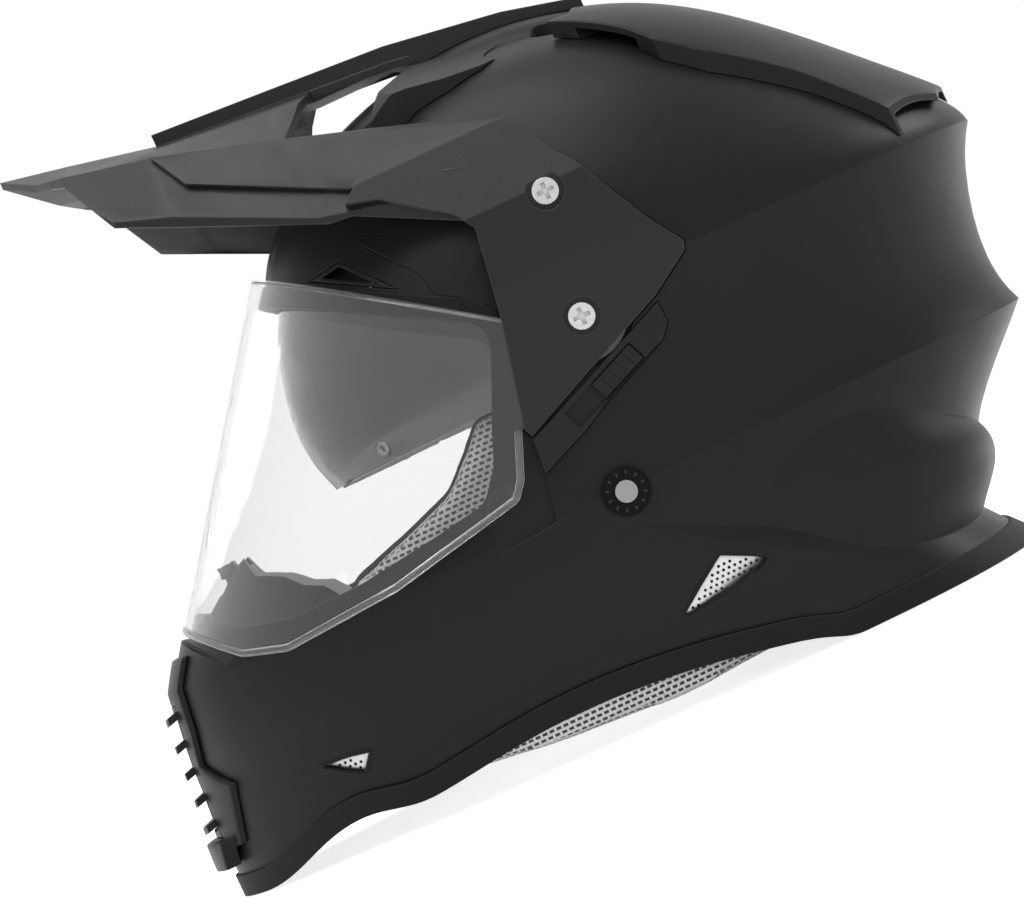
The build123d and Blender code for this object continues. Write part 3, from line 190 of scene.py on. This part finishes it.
class Look:
    """A material with a Principled shader, and short ways to add to it."""

    def __init__(self, name, colour, roughness, metallic=0.0):
        self.name = name
        self.material = bpy.data.materials.new(name)
        self.material.use_nodes = True
        self.tree = self.material.node_tree
        self.shader = self.tree.nodes["Principled BSDF"]
        self.set("Base Color", (*colour, 1))
        self.set("Roughness", roughness)
        self.set("Metallic", metallic)
        self.place = self.tree.nodes.new("ShaderNodeTexCoord").outputs["Object"]

    def set(self, socket, value):
        self.shader.inputs[socket].default_value = value

    def lead(self, source, socket):
        """Lets a node's output give one of the shader's own values."""
        self.link(source, self.shader.inputs[socket])

    def node(self, kind, **settings):
        made = self.tree.nodes.new(kind)
        for name, value in settings.items():
            setattr(made, name, value)
        return made

    def link(self, source, target):
        self.tree.links.new(source, target)

    def feed(self, socket, value):
        """Gives a socket its value, which is a node's output or plain numbers."""
        if isinstance(value, bpy.types.NodeSocket):
            self.link(value, socket)
        else:
            socket.default_value = value

    def maths(self, operation, first, second=0.0):
        made = self.node("ShaderNodeMath", operation=operation)
        self.feed(made.inputs[0], first)
        self.feed(made.inputs[1], second)
        return made.outputs[0]

    def axes(self, vector):
        """A vector's parts, by the names of their axes."""
        made = self.node("ShaderNodeSeparateXYZ")
        self.link(vector, made.inputs["Vector"])
        return made.outputs

    def flat(self, first, second):
        """A place on a flat pattern."""
        made = self.node("ShaderNodeCombineXYZ")
        self.link(first, made.inputs["X"])
        self.link(second, made.inputs["Y"])
        return made.outputs["Vector"]

    def noise(self, scale, detail=3.0):
        made = self.node("ShaderNodeTexNoise")
        made.inputs["Scale"].default_value = scale
        made.inputs["Detail"].default_value = detail
        self.link(self.place, made.inputs["Vector"])
        return made.outputs["Fac"]

    def bricks(self, flat, sizes):
        """A staggered pattern of bricks: 1 in the mortar, 0 in a brick."""
        made = self.node("ShaderNodeTexBrick")
        for socket, size in sizes.items():
            made.inputs[socket].default_value = size
        self.link(flat, made.inputs["Vector"])
        return made.outputs["Fac"]

    def spread(self, source, over=(0.0, 1.0), to=(0.0, 1.0)):
        """`source`, where it runs over one range, made to run over another."""
        made = self.node("ShaderNodeMapRange")
        for socket, value in zip(("From Min", "From Max", "To Min", "To Max"), (*over, *to)):
            made.inputs[socket].default_value = value
        self.link(source, made.inputs["Value"])
        return made.outputs["Result"]

    def vary_roughness(self, source, middle, by):
        self.lead(self.spread(source, to=(middle - by, middle + by)), "Roughness")

    def mix(self, factor, first, second, kind="FLOAT"):
        made = self.node("ShaderNodeMix", data_type=kind)
        for socket, value in (("Factor", factor), ("A", first), ("B", second)):
            self.feed(made.inputs[socket], value)
        return made.outputs["Result"]

    def two_colours(self, factor, first, second):
        """Runs from one colour to another. Each is three numbers or a node's output."""
        ends = [(*end, 1) if isinstance(end, tuple) else end for end in (first, second)]
        return self.mix(factor, *ends, kind="RGBA")

    def round_edges(self, radius):
        """Shades each sharp edge as if it had this radius. Gives how near an edge a place is."""
        made = self.node("ShaderNodeBevel", samples=6)
        made.inputs["Radius"].default_value = radius
        self.lead(made.outputs["Normal"], "Normal")
        alike = self.node("ShaderNodeVectorMath", operation="DOT_PRODUCT")
        self.link(made.outputs["Normal"], alike.inputs[0])
        self.link(self.node("ShaderNodeNewGeometry").outputs["Normal"], alike.inputs[1])
        return self.spread(alike.outputs["Value"], over=EDGE_ALIKE)

    def bump(self, height, distance, strength=1.0):
        """Adds a relief to those that the look has already."""
        made = self.node("ShaderNodeBump")
        made.inputs["Distance"].default_value = distance
        made.inputs["Strength"].default_value = strength
        self.link(height, made.inputs["Height"])
        previous = self.shader.inputs["Normal"].links
        if previous:
            self.link(previous[0].from_socket, made.inputs["Normal"])
        self.lead(made.outputs["Normal"], "Normal")


def mould(look, roughness, gloss, edge, grain=1400.0, depth=0.00004):
    """Gives a look the rounded edges, the fine grain and the slow changes of gloss of moulded
    plastic. Gives back how near an edge a place is."""
    look.set("Specular IOR Level", gloss)
    near_edge = look.round_edges(edge * MM)
    look.vary_roughness(look.noise(scale=60.0), roughness, by=0.05)
    look.bump(look.noise(grain, detail=2.0), distance=depth)
    return near_edge


def plastic(name, colour, roughness, gloss=0.12, edge=0.7, **grain):
    """Moulded plastic or matt paint: slow changes of colour, and a painted highlight that makes it
    lighter along its sharp edges.
    """
    look = Look(name, colour, roughness)
    near_edge = mould(look, roughness, gloss, edge, **grain)
    paint = look.two_colours(look.noise(scale=9.0, detail=4.0),
                             scaled(colour, 1 - PAINT_VARIATION),
                             scaled(colour, 1 + PAINT_VARIATION))
    # Painted highlight: the colour is made lighter near every sharp edge, convex or concave
    look.lead(look.two_colours(near_edge, paint, scaled(colour, EDGE_HIGHLIGHT_SHARE)), "Base Color")
    return look


def rubber(name):
    look = plastic(name, grey(0.005), 0.6, gloss=0.1, grain=900.0, depth=0.00006)
    look.set("Sheen Weight", 0.04)
    return look


def marked_washer(name):
    """Black plastic with a ring of small raised marks."""
    look = Look(name, grey(0.0025), 0.4)
    mould(look, 0.4, gloss=0.06, edge=0.4)
    place = look.axes(look.place)
    along = look.maths("SUBTRACT", place["Y"], WASHER_MIDDLE[0] * MM)
    up = look.maths("SUBTRACT", place["Z"], WASHER_MIDDLE[1] * MM)
    squares = [look.maths("MULTIPLY", part, part) for part in (along, up)]
    radius = look.maths("SQRT", look.maths("ADD", *squares))
    from_ring = look.maths("ABSOLUTE", look.maths("SUBTRACT", radius, MARKS_RADIUS * MM))
    turn = look.maths("MULTIPLY", look.maths("ARCTAN2", up, along), MARKS_COUNT)
    mark = look.maths("MULTIPLY", look.maths("LESS_THAN", from_ring, MARKS_HALF_WIDTH * MM),
                      look.maths("GREATER_THAN", look.maths("SINE", turn), MARKS_CUT))
    look.lead(look.two_colours(mark, grey(0.0025), grey(0.02)), "Base Color")
    look.bump(mark, distance=0.0002)
    return look


def foam(name):
    """Moulded beads with fine joints between them."""
    look = Look(name, grey(0.02), 0.8)
    cells = look.node("ShaderNodeTexVoronoi", feature="DISTANCE_TO_EDGE")
    cells.inputs["Scale"].default_value = 320.0
    look.link(look.place, cells.inputs["Vector"])
    bead = look.spread(cells.outputs["Distance"], over=(0.0, 0.12))
    look.lead(look.two_colours(bead, grey(0.008), grey(0.028)), "Base Color")
    look.bump(bead, distance=0.00025)
    return look


def by_facing(look, along_x, along_y, along_z):
    """Three flat patterns, each used where the surface faces along its axis."""
    size = look.node("ShaderNodeVectorMath", operation="ABSOLUTE")
    look.link(look.node("ShaderNodeNewGeometry").outputs["Normal"], size.inputs[0])
    facing = look.axes(size.outputs["Vector"])
    sideways = look.maths("GREATER_THAN", facing["X"], facing["Y"])
    steepest = look.maths("MAXIMUM", facing["X"], facing["Y"])
    level = look.maths("GREATER_THAN", facing["Z"], steepest)
    return look.mix(level, look.mix(sideways, along_y, along_x), along_z)


def slit_fabric(name, thread_colour, gap_colour):
    """Open mesh fabric: pale threads round rows of dark slits."""
    look = Look(name, thread_colour, 0.85)
    place = look.axes(look.place)
    thread = by_facing(look, *(look.bricks(look.flat(place[first], place[second]), SLITS)
                               for first, second in ("YZ", "XZ", "YX")))
    shade = look.spread(look.noise(scale=1900.0), to=(0.72, 1.12))
    paleness = look.maths("MULTIPLY", thread, shade)
    look.lead(look.two_colours(paleness, gap_colour, thread_colour), "Base Color")
    look.bump(thread, distance=0.0005)
    look.bump(look.noise(scale=2600.0, detail=2.0), distance=0.00008)
    look.set("Sheen Weight", 0.3)
    return look


def brushed_fabric(name, colour):
    look = Look(name, colour, 0.95)
    look.bump(look.noise(scale=1800.0, detail=4.0), distance=0.0002)
    shade = look.noise(scale=40.0, detail=4.0)
    look.lead(look.two_colours(shade, scaled(colour, 0.7), scaled(colour, 1.3)), "Base Color")
    look.set("Sheen Weight", 0.4)
    return look


def webbing(name):
    """Woven strap: rows of small ridges. Its length runs along X and Z, its width along Y."""
    look = Look(name, grey(0.015), 0.75)
    place = look.axes(look.place)
    length = look.maths("ADD", place["X"], place["Z"])
    ridges = look.bricks(look.flat(length, place["Y"]), RIDGES)
    look.bump(ridges, distance=0.0003, strength=0.8)
    look.set("Sheen Weight", 0.25)
    return look


def glass(name, colour, roughness=0.02):
    look = Look(name, colour, roughness)
    look.set("Transmission Weight", 1.0)
    look.set("IOR", 1.45)
    look.set("Specular IOR Level", 0.22)
    look.bump(look.noise(scale=30.0, detail=2.0), distance=0.00001)
    return look


def metal(name, colour, roughness):
    """Bright metal, with painted shade that darkens its slots and corners."""
    look = Look(name, colour, roughness, metallic=1.0)
    open_to_light = look.node("ShaderNodeAmbientOcclusion", samples=8)
    open_to_light.inputs["Distance"].default_value = 1.5 * MM
    # Painted shade: the colour is darkened where ambient occlusion finds the surface enclosed
    look.lead(look.two_colours(open_to_light.outputs["AO"], scaled(colour, 0.1), colour),
              "Base Color")
    look.vary_roughness(look.noise(scale=500.0, detail=4.0), roughness, by=0.08)
    look.bump(look.noise(scale=1500.0), distance=0.00003)
    return look


def make_looks():
    """All looks by name: those of the slots, and the scene's own. A roughness follows a colour."""
    made = (
        plastic("shell_black", (0.0055, 0.0055, 0.0057), 0.4),
        plastic("peak_black", (0.009, 0.009, 0.0092), 0.43, gloss=0.18, grain=1000.0,
                depth=0.00006),
        rubber("trim_rubber"),
        foam("foam"),
        slit_fabric("pad_fabric", (0.66, 0.66, 0.655), grey(0.03)),
        brushed_fabric("liner_fabric", (0.06, 0.06, 0.062)),
        rubber("piping"),
        webbing("webbing"),
        glass("clear_shield", (0.97, 0.975, 0.975)),
        glass("shield_lip", (0.8, 0.805, 0.81), 0.08),
        glass("smoke_visor", (0.15, 0.155, 0.16)),
        plastic("vent_plastic", (0.007, 0.007, 0.0072), 0.4, edge=0.5),
        metal("mesh_metal", (0.42, 0.42, 0.415), 0.38),
        metal("screw_metal", (0.5, 0.5, 0.495), 0.28),
        marked_washer("washer_black"),
        metal("rivet_metal", grey(0.22), 0.4),
        metal("buckle_metal", grey(0.4), 0.35),
        plastic("slider_plastic", grey(0.008), 0.36, edge=0.4),
        plastic("plate_plastic", grey(0.01), 0.3, edge=0.4),
    )
    return {look.name: look for look in made}


# CAD nodes that stay
# Nodes that look different from the other nodes of their slot
OWN_LOOKS = {"strap_rivets": "rivet_metal", "rivet_washers": "washer_black"}
# Widths of the bevels in mm
BEVELS = {
    "peak": 0.8, "top_vent": 0.7, "crown_intakes": 0.6, "chin_cap": 0.6, "chin_grille": 0.4,
    "brow_vent_frames": 0.3, "slider_housing": 0.4, "slider_knob": 0.3, "breath_guard": 0.6,
    "chin_vent_lever": 0.4, "peak_side_screws": 0.25, "peak_top_screw": 0.25,
    "pivot_screws": 0.25, "strap_rivets": 0.4, "rivet_washers": 0.4, "buckle_housing": 0.4,
    "buckle_lever": 0.4, "buckle_tongue": 0.2,
}
BEVEL_SEGMENTS = 3
BEVEL_ANGLE = math.radians(28)
WELD_REACH = 0.00001


def paint_nodes(looks):
    for name, piece in nodes.items():
        piece.data.materials.clear()
        piece.data.materials.append(looks[OWN_LOOKS.get(name, SLOTS[name])].material)


def soften_edges():
    """A small round along the sharp edges of the moulded and turned pieces."""
    for name, width in BEVELS.items():
        piece = nodes[name]
        weld = piece.modifiers.new("weld", "WELD")
        weld.merge_threshold = WELD_REACH
        bevel = piece.modifiers.new("bevel", "BEVEL")
        bevel.width = width * MM
        bevel.segments = BEVEL_SEGMENTS
        bevel.limit_method = "ANGLE"
        bevel.angle_limit = BEVEL_ANGLE
        bevel.harden_normals = True


# Meshes and surfaces
# Places nearer than this, in metres, are one
SAME_PLACE = 1e-6


def apply_modifiers(piece):
    """Puts what the modifiers make into the piece's own mesh."""
    graph = bpy.context.evaluated_depsgraph_get()
    made = bpy.data.meshes.new_from_object(piece.evaluated_get(graph))
    piece.modifiers.clear()
    piece.data = made


def points_of(piece):
    places = np.empty(len(piece.data.vertices) * 3)
    piece.data.vertices.foreach_get("co", places)
    return places.reshape(-1, 3)


def normals_of(piece):
    normals = np.empty(len(piece.data.vertices) * 3)
    piece.data.vertex_normals.foreach_get("vector", normals)
    return normals.reshape(-1, 3)


def set_points(piece, places):
    piece.data.vertices.foreach_set("co", places.ravel())
    piece.data.update()


def surface_of(node):
    """The CAD node's surface, for finding the nearest place or the first one on a line."""
    shape = bmesh.new()
    shape.from_mesh(nodes[node].data)
    tree = BVHTree.FromBMesh(shape)
    shape.free()
    return tree


def ring_faces(rings, size):
    """Faces between neighbouring rings of `size` places each."""
    faces = []
    for ring in range(rings - 1):
        for step in range(size):
            start, end = ring * size + step, ring * size + (step + 1) % size
            faces.append((start, end, end + size, start + size))
    return faces


def add_welded(name, places, faces):
    """A piece with its double places made one and its faces turned outwards."""
    mesh = bpy.data.meshes.new(name)
    mesh.from_pydata(places, [], faces)
    shape = bmesh.new()
    shape.from_mesh(mesh)
    bmesh.ops.remove_doubles(shape, verts=shape.verts, dist=SAME_PLACE)
    bmesh.ops.recalc_face_normals(shape, faces=shape.faces)
    shape.to_mesh(mesh)
    shape.free()
    return add_object(name, mesh)


# Soft pieces: each stands in the space of its CAD solid
# Lines in the side view are places (y, z) in mm, and walls are single places along an axis
HEAD_MIDDLE = Vector((0, 0.051, 0.1))
CHEEK_CHANNELS = [[(-120.0, 70.9), (-52.0, 84.2), (64.0, 72.0)],
                  [(-120.0, 39.0), (-52.0, 45.9), (64.0, 39.0)]]
ACROSS_CHANNELS = (-34.4, 0.0, 34.4)
CROWN_CHANNELS = (60.8, 121.6)
CHANNEL_DEPTH = 2.6 * MM
CHANNEL_WIDTH = 2.4 * MM
# How soon a channel gets its full depth as the surface turns to face the head
CHANNEL_GAIN = 1.6
CUSHION_VOXEL = 4 * MM
CUSHION_INSET = MM
CHEEK_PROUD = 2.5 * MM
HEAD_PROUD = 2.0 * MM
# How much of the air's push each cushion keeps along each axis, and how full it is
CHEEK_FREEDOM, CHEEK_FILL = (1, 0.15, 0.15), 0.8
CROWN_FREEDOM, CROWN_FILL = (0.4, 0.4, 0.4), 0.7
NECK_FREEDOM, NECK_FILL = (0.4, 0.4, 0.15), 0.8
CLOTH_PRESSURE = 4
CLOTH_FRAMES = 20
CLOTH_MOST = 5 * MM
# Keeps a division from being by nothing
TINY = 1e-9


def blow_up(piece, freedom):
    """Fills the piece with air as cloth, and keeps of each point's way what `freedom` says, but
    no more than CLOTH_MOST."""
    start = points_of(piece)
    cloth = piece.modifiers.new("cloth", "CLOTH")
    cloth.settings.use_pressure = True
    cloth.settings.uniform_pressure_force = CLOTH_PRESSURE
    cloth.settings.effector_weights.gravity = 0
    for step in range(1, CLOTH_FRAMES + 1):
        scene.frame_set(step)
    apply_modifiers(piece)
    scene.frame_set(1)
    moved = (points_of(piece) - start) * np.array(freedom)
    length = np.linalg.norm(moved, axis=1, keepdims=True)
    set_points(piece, start + moved * np.minimum(1, CLOTH_MOST / np.maximum(length, TINY)))


def keep_near(piece, node, proud):
    """Brings the points back that stand further out of the CAD pad than `proud` allows there."""
    tree = surface_of(node)
    places = points_of(piece)
    for index, place in enumerate(places):
        spot, normal = tree.find_nearest(Vector(place))[:2]
        most = proud(spot, normal)
        if (Vector(place) - spot).dot(normal) > most:
            places[index] = spot + normal * most
    set_points(piece, places)


def from_lines(places, lines):
    """Each place's distance in the side view from the nearest of the lines, in metres."""
    flat = places[:, 1:]
    nearest = np.full(len(places), np.inf)
    for line in lines:
        corners = np.array(line) * MM
        for start, end in zip(corners, corners[1:]):
            edge = end - start
            share = np.clip((flat - start) @ edge / (edge @ edge), 0, 1)
            gap = flat - start - share[:, None] * edge
            nearest = np.minimum(nearest, np.linalg.norm(gap, axis=1))
    return nearest


def from_walls(places, axis, walls):
    """Each place's distance along an axis from the nearest of the walls, in metres."""
    return np.min([np.abs(places[:, axis] - wall * MM) for wall in walls], axis=0)


def sew(piece, distance, free):
    """Presses rounded channels into the free side, where `distance` says that a seam is near."""
    places, normals = points_of(piece), normals_of(piece)
    depth = CHANNEL_DEPTH * np.exp(-(distance(places) / CHANNEL_WIDTH) ** 2)
    depth *= np.clip(free(places, normals), 0, 1)
    set_points(piece, places - normals * depth[:, None])


def finish_soft(piece, node, look):
    """Shades the piece, and lets it stand for the CAD node."""
    piece.data.materials.clear()
    piece.data.materials.append(look.material)
    piece.data.shade_smooth()
    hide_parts(node)
    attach(piece, "helmet")


def cushion(name, node, look, freedom, proud, distance, free):
    """A padded piece: the CAD pad remeshed, drawn in, blown up as cloth, and sewn."""
    piece = add_object(name, nodes[node].data.copy())
    remesh = piece.modifiers.new("remesh", "REMESH")
    remesh.mode = "VOXEL"
    remesh.voxel_size = CUSHION_VOXEL
    apply_modifiers(piece)
    set_points(piece, points_of(piece) - normals_of(piece) * CUSHION_INSET)
    blow_up(piece, freedom)
    piece.modifiers.new("subdivide", "SUBSURF").levels = 1
    apply_modifiers(piece)
    keep_near(piece, node, proud)
    sew(piece, distance, free)
    finish_soft(piece, node, look)


def proud_to_head(spot, normal):
    return HEAD_PROUD * max(0, (HEAD_MIDDLE - spot).normalized().dot(normal))


def free_to_head(places, normals):
    """How freely each place faces the middle of the head, or its upright axis lower down."""
    inward = np.array(HEAD_MIDDLE) - places
    inward[:, 2] *= places[:, 2] > HEAD_MIDDLE.z
    return np.sum(inward * normals, axis=1) / np.linalg.norm(inward, axis=1) * CHANNEL_GAIN


def add_cushions(looks):
    for side, name in SIDES:
        cushion("cheek_cushion_" + name, "cheek_pad_" + name, looks["pad_fabric"],
                CHEEK_FREEDOM,
                lambda spot, normal: CHEEK_PROUD * max(0, -normal.x * side),
                lambda places: from_lines(places, CHEEK_CHANNELS),
                lambda places, normals: -normals[:, 0] * side * CHANNEL_GAIN)
    cushion("crown_cushion", "comfort_liner", looks["liner_fabric"], CROWN_FREEDOM,
            proud_to_head,
            lambda places: np.minimum(from_walls(places, 0, ACROSS_CHANNELS),
                                      from_walls(places, 1, CROWN_CHANNELS)),
            free_to_head)
    cushion("neck_cushion", "neck_roll", looks["pad_fabric"], NECK_FREEDOM,
            proud_to_head, lambda places: from_walls(places, 0, ACROSS_CHANNELS), free_to_head)


# Beads along lines in the side view, with their radii, insets and steps in mm. The rays that find
# a surface start from these places along X.
OUTSIDE = 200
INSIDE = 5
CHEEK_FRONT = [(-98.0, 26.0), (-104.8, 43.2), (-108.8, 81.0), (-97.2, 96.4), (-70.8, 104.8),
               (-49.6, 112.6), (-36.0, 125.3), (-28.8, 133.4), (-12.0, 132.3)]
CHEEK_MIDDLE = (-24.0, 66.0)
PIPING_RADIUS, PIPING_INSET, PIPING_STEP = 1.3, 1.5, 8
SHIELD_LOW = [(-14.4, 121.5), (-21.4, 104.2), (-26.0, 98.3), (-80.8, 86.7), (-128.8, 83.2),
              (-147.2, 88.3), (-170.4, 105.6), (-200.0, 124.2)]
SHIELD_TOP = [(-2.8, 160.9), (-86.8, 221.4), (-120.0, 264.6)]
SHIELD_MIDDLE = (-95.0, 140.0)
# Name, line, radius and inset
SHIELD_LIPS = (("shield_low_lip", SHIELD_LOW, 1.5, 1.5), ("shield_top_lip", SHIELD_TOP, 0.5, 1.4))
LIP_STEP = 3
MESH_CORNERS = {
    "rear": [(48.0, 40.8), (32.0, 48.6), (11.6, 34.7), (13.2, 33.1), (44.0, 38.1)],
    "chin": [(-138.8, 38.1), (-118.0, 35.9), (-123.2, 29.4)],
}
MESH_RIM_RADIUS, MESH_RIM_INSET, MESH_RIM_STEP = 0.7, -0.9, 2
TUBE_RESOLUTION = 4
TUBE_ORDER = 3


def tube(name, line, radius, look, body):
    """A round bead along a line of places in metres."""
    curve = bpy.data.curves.new(name, "CURVE")
    curve.dimensions = "3D"
    curve.bevel_depth = radius * MM
    curve.bevel_resolution = TUBE_RESOLUTION
    curve.use_fill_caps = True
    spline = curve.splines.new("NURBS")
    spline.points.add(len(line) - 1)
    for point, place in zip(spline.points, line):
        point.co = (*place, 1)
    spline.order_u = TUBE_ORDER
    spline.use_endpoint_u = True
    curve.materials.append(look.material)
    piece = add_object(name, curve)
    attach(piece, body)


def on_surface(node, line, start_x, heading, inset, middle):
    """Where the line's places, moved by `inset` towards `middle`, meet a node when they are sent
    from `start_x` along X, to the helmet's left (1) or right (-1)."""
    tree = surface_of(node)
    middle = Vector((0, *middle)) * MM
    found = []
    for place in line:
        spot = Vector((0, *place)) * MM
        spot += (middle - spot).normalized() * inset * MM
        spot.x = start_x * MM
        hit = tree.ray_cast(spot, Vector((heading, 0, 0)))[0]
        if hit:
            found.append(hit)
    return found


def finer(line, step):
    """The line with places about `step` apart."""
    places = []
    for (y, z), (y_next, z_next) in zip(line, line[1:]):
        count = max(1, round(math.dist((y, z), (y_next, z_next)) / step))
        places += [(y + (y_next - y) * n / count, z + (z_next - z) * n / count)
                   for n in range(count)]
    return places + [line[-1]]


def add_piping(looks):
    """The dark cord sewn round the front of each cheek pad."""
    for side, name in SIDES:
        line = on_surface("cheek_pad_" + name, finer(CHEEK_FRONT, PIPING_STEP), side * INSIDE,
                          side, PIPING_INSET, CHEEK_MIDDLE)
        tube("cheek_piping_" + name, line, PIPING_RADIUS, looks["piping"], "helmet")


def add_shield_lips(looks):
    """The thick moulded edges of the clear shield, which catch the light."""
    for name, line, radius, inset in SHIELD_LIPS:
        half = on_surface("face_shield", finer(line, LIP_STEP), OUTSIDE, -1, inset, SHIELD_MIDDLE)
        other = [Vector((-place.x, place.y, place.z)) for place in reversed(half)]
        tube(name, half + other, radius, looks["shield_lip"], "face_shield")


def add_mesh_rims(looks):
    """The dark raised rim round each perforated metal triangle."""
    for place, corners in MESH_CORNERS.items():
        middle = [sum(values) / len(corners) for values in zip(*corners)]
        outline = finer(corners + corners[:1], MESH_RIM_STEP)
        for side, name in SIDES:
            line = on_surface("shell", outline, side * OUTSIDE, -side, MESH_RIM_INSET, middle)
            tube(place + "_mesh_rim_" + name, line, MESH_RIM_RADIUS, looks["piping"], "helmet")


# The sun visor's screws: the place (y, z), and radii and heights of the turned head, in mm
VISOR_SCREW = (-65.0, 137.0)
VISOR_SCREW_PROFILE = [(0.0, -0.6), (0.9, -0.4), (1.2, 0.5), (2.1, 0.9), (2.9, 0.7), (3.3, 0.0),
                       (3.3, -0.8)]
VISOR_SCREW_STEPS = 32


def screw_places(spot, axis):
    """Rings of places round `axis`, one for each row of the screw's profile."""
    turn = axis.to_track_quat("Z", "Y").to_matrix()
    places = []
    for radius, rise in VISOR_SCREW_PROFILE:
        for step in range(VISOR_SCREW_STEPS):
            angle = step * 2 * math.pi / VISOR_SCREW_STEPS
            place = Vector((radius * math.cos(angle), radius * math.sin(angle), rise))
            places.append(spot + turn @ place * MM)
    return places


def add_visor_screws(looks):
    """A small round screw low on each half of the sun visor, sunk in its middle."""
    tree = surface_of("sun_visor")
    faces = ring_faces(len(VISOR_SCREW_PROFILE), VISOR_SCREW_STEPS)
    for side, name in SIDES:
        start = Vector((side * OUTSIDE, *VISOR_SCREW)) * MM
        spot, normal = tree.ray_cast(start, Vector((-side, 0, 0)))[:2]
        piece = add_welded("visor_screw_" + name, screw_places(spot, normal), faces)
        piece.data.shade_smooth()
        piece.data.materials.append(looks["rivet_metal"].material)
        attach(piece, "sun_visor")


# Straps: the middle line (x, z) of the left one and the sizes of the webbing, in mm
STRAP_LINE = [(116.6, 94.7), (106.0, 42.0), (92.7, 24.0), (20.4, 24.0)]
STRAP_BEND = 6.0
STRAP_BEND_STEPS = 6
STRAP_MIDDLE_Y = 10.7
STRAP_HALF_WIDTH = 10.0
STRAP_HALF_STEPS = 10
STRAP_HALF_THICKNESS = 0.8
# Shares of that thickness: what is left at a woven edge, and what the rows rise and fall by
STRAP_EDGE_SHARE = 0.25
STRAP_ROW_SHARE = 0.12
STRAP_ROWS = 5
STRAP_EDGE_POWER = 14


def strap_path():
    """The strap's middle line across and up, its corners rounded."""
    line = [Vector(place) for place in STRAP_LINE]
    path = [line[0]]
    for before, corner, after in zip(line, line[1:], line[2:]):
        back, ahead = (before - corner).normalized(), (after - corner).normalized()
        reach = STRAP_BEND / math.tan(back.angle(ahead) / 2)
        start, end = corner + back * reach, corner + ahead * reach
        for step in range(STRAP_BEND_STEPS + 1):
            share = step / STRAP_BEND_STEPS
            path.append(start.lerp(corner, share).lerp(corner.lerp(end, share), share))
    return path + [line[-1]]


def strap_section():
    """Places across the webbing with their half thickness: raised rows, and thin woven edges."""
    section = []
    for step in range(2 * STRAP_HALF_STEPS + 1):
        across = step / STRAP_HALF_STEPS - 1
        edge = max(0.0, 1 - abs(across) ** STRAP_EDGE_POWER) ** 0.5
        row = 1 - STRAP_ROW_SHARE + STRAP_ROW_SHARE * math.cos(across * math.pi * STRAP_ROWS)
        half = STRAP_HALF_THICKNESS * max(STRAP_EDGE_SHARE, edge * row)
        section.append((across * STRAP_HALF_WIDTH, half))
    return section


def strap_places(path, section, side):
    """Rings of places round the strap, one for each place on its path."""
    places = []
    for index, point in enumerate(path):
        ahead, behind = path[min(index + 1, len(path) - 1)], path[max(index - 1, 0)]
        along = (ahead - behind).normalized()
        out = Vector((along.y, -along.x))
        for sign, order in ((1, section), (-1, section[::-1])):
            for across, half in order:
                spot = point + out * half * sign
                places.append((spot.x * side * MM, (STRAP_MIDDLE_Y + across) * MM, spot.y * MM))
    return places


def add_straps(looks):
    """Flat webbing that follows the strap's line, closed at both ends."""
    path, section = strap_path(), strap_section()
    size = len(section) * 2
    whole = size * len(path)
    faces = ring_faces(len(path), size)
    faces += [tuple(range(size)), tuple(reversed(range(whole - size, whole)))]
    for side, name in SIDES:
        piece = add_welded("webbing_" + name, strap_places(path, section, side), faces)
        finish_soft(piece, "strap_" + name, looks["webbing"])


add_camera()
add_lights()
add_world()
add_floor()
looks = make_looks()
paint_nodes(looks)
soften_edges()
add_cushions(looks)
add_piping(looks)
add_shield_lips(looks)
add_mesh_rims(looks)
add_visor_screws(looks)
add_straps(looks)
scene.view_settings.view_transform = "Standard"
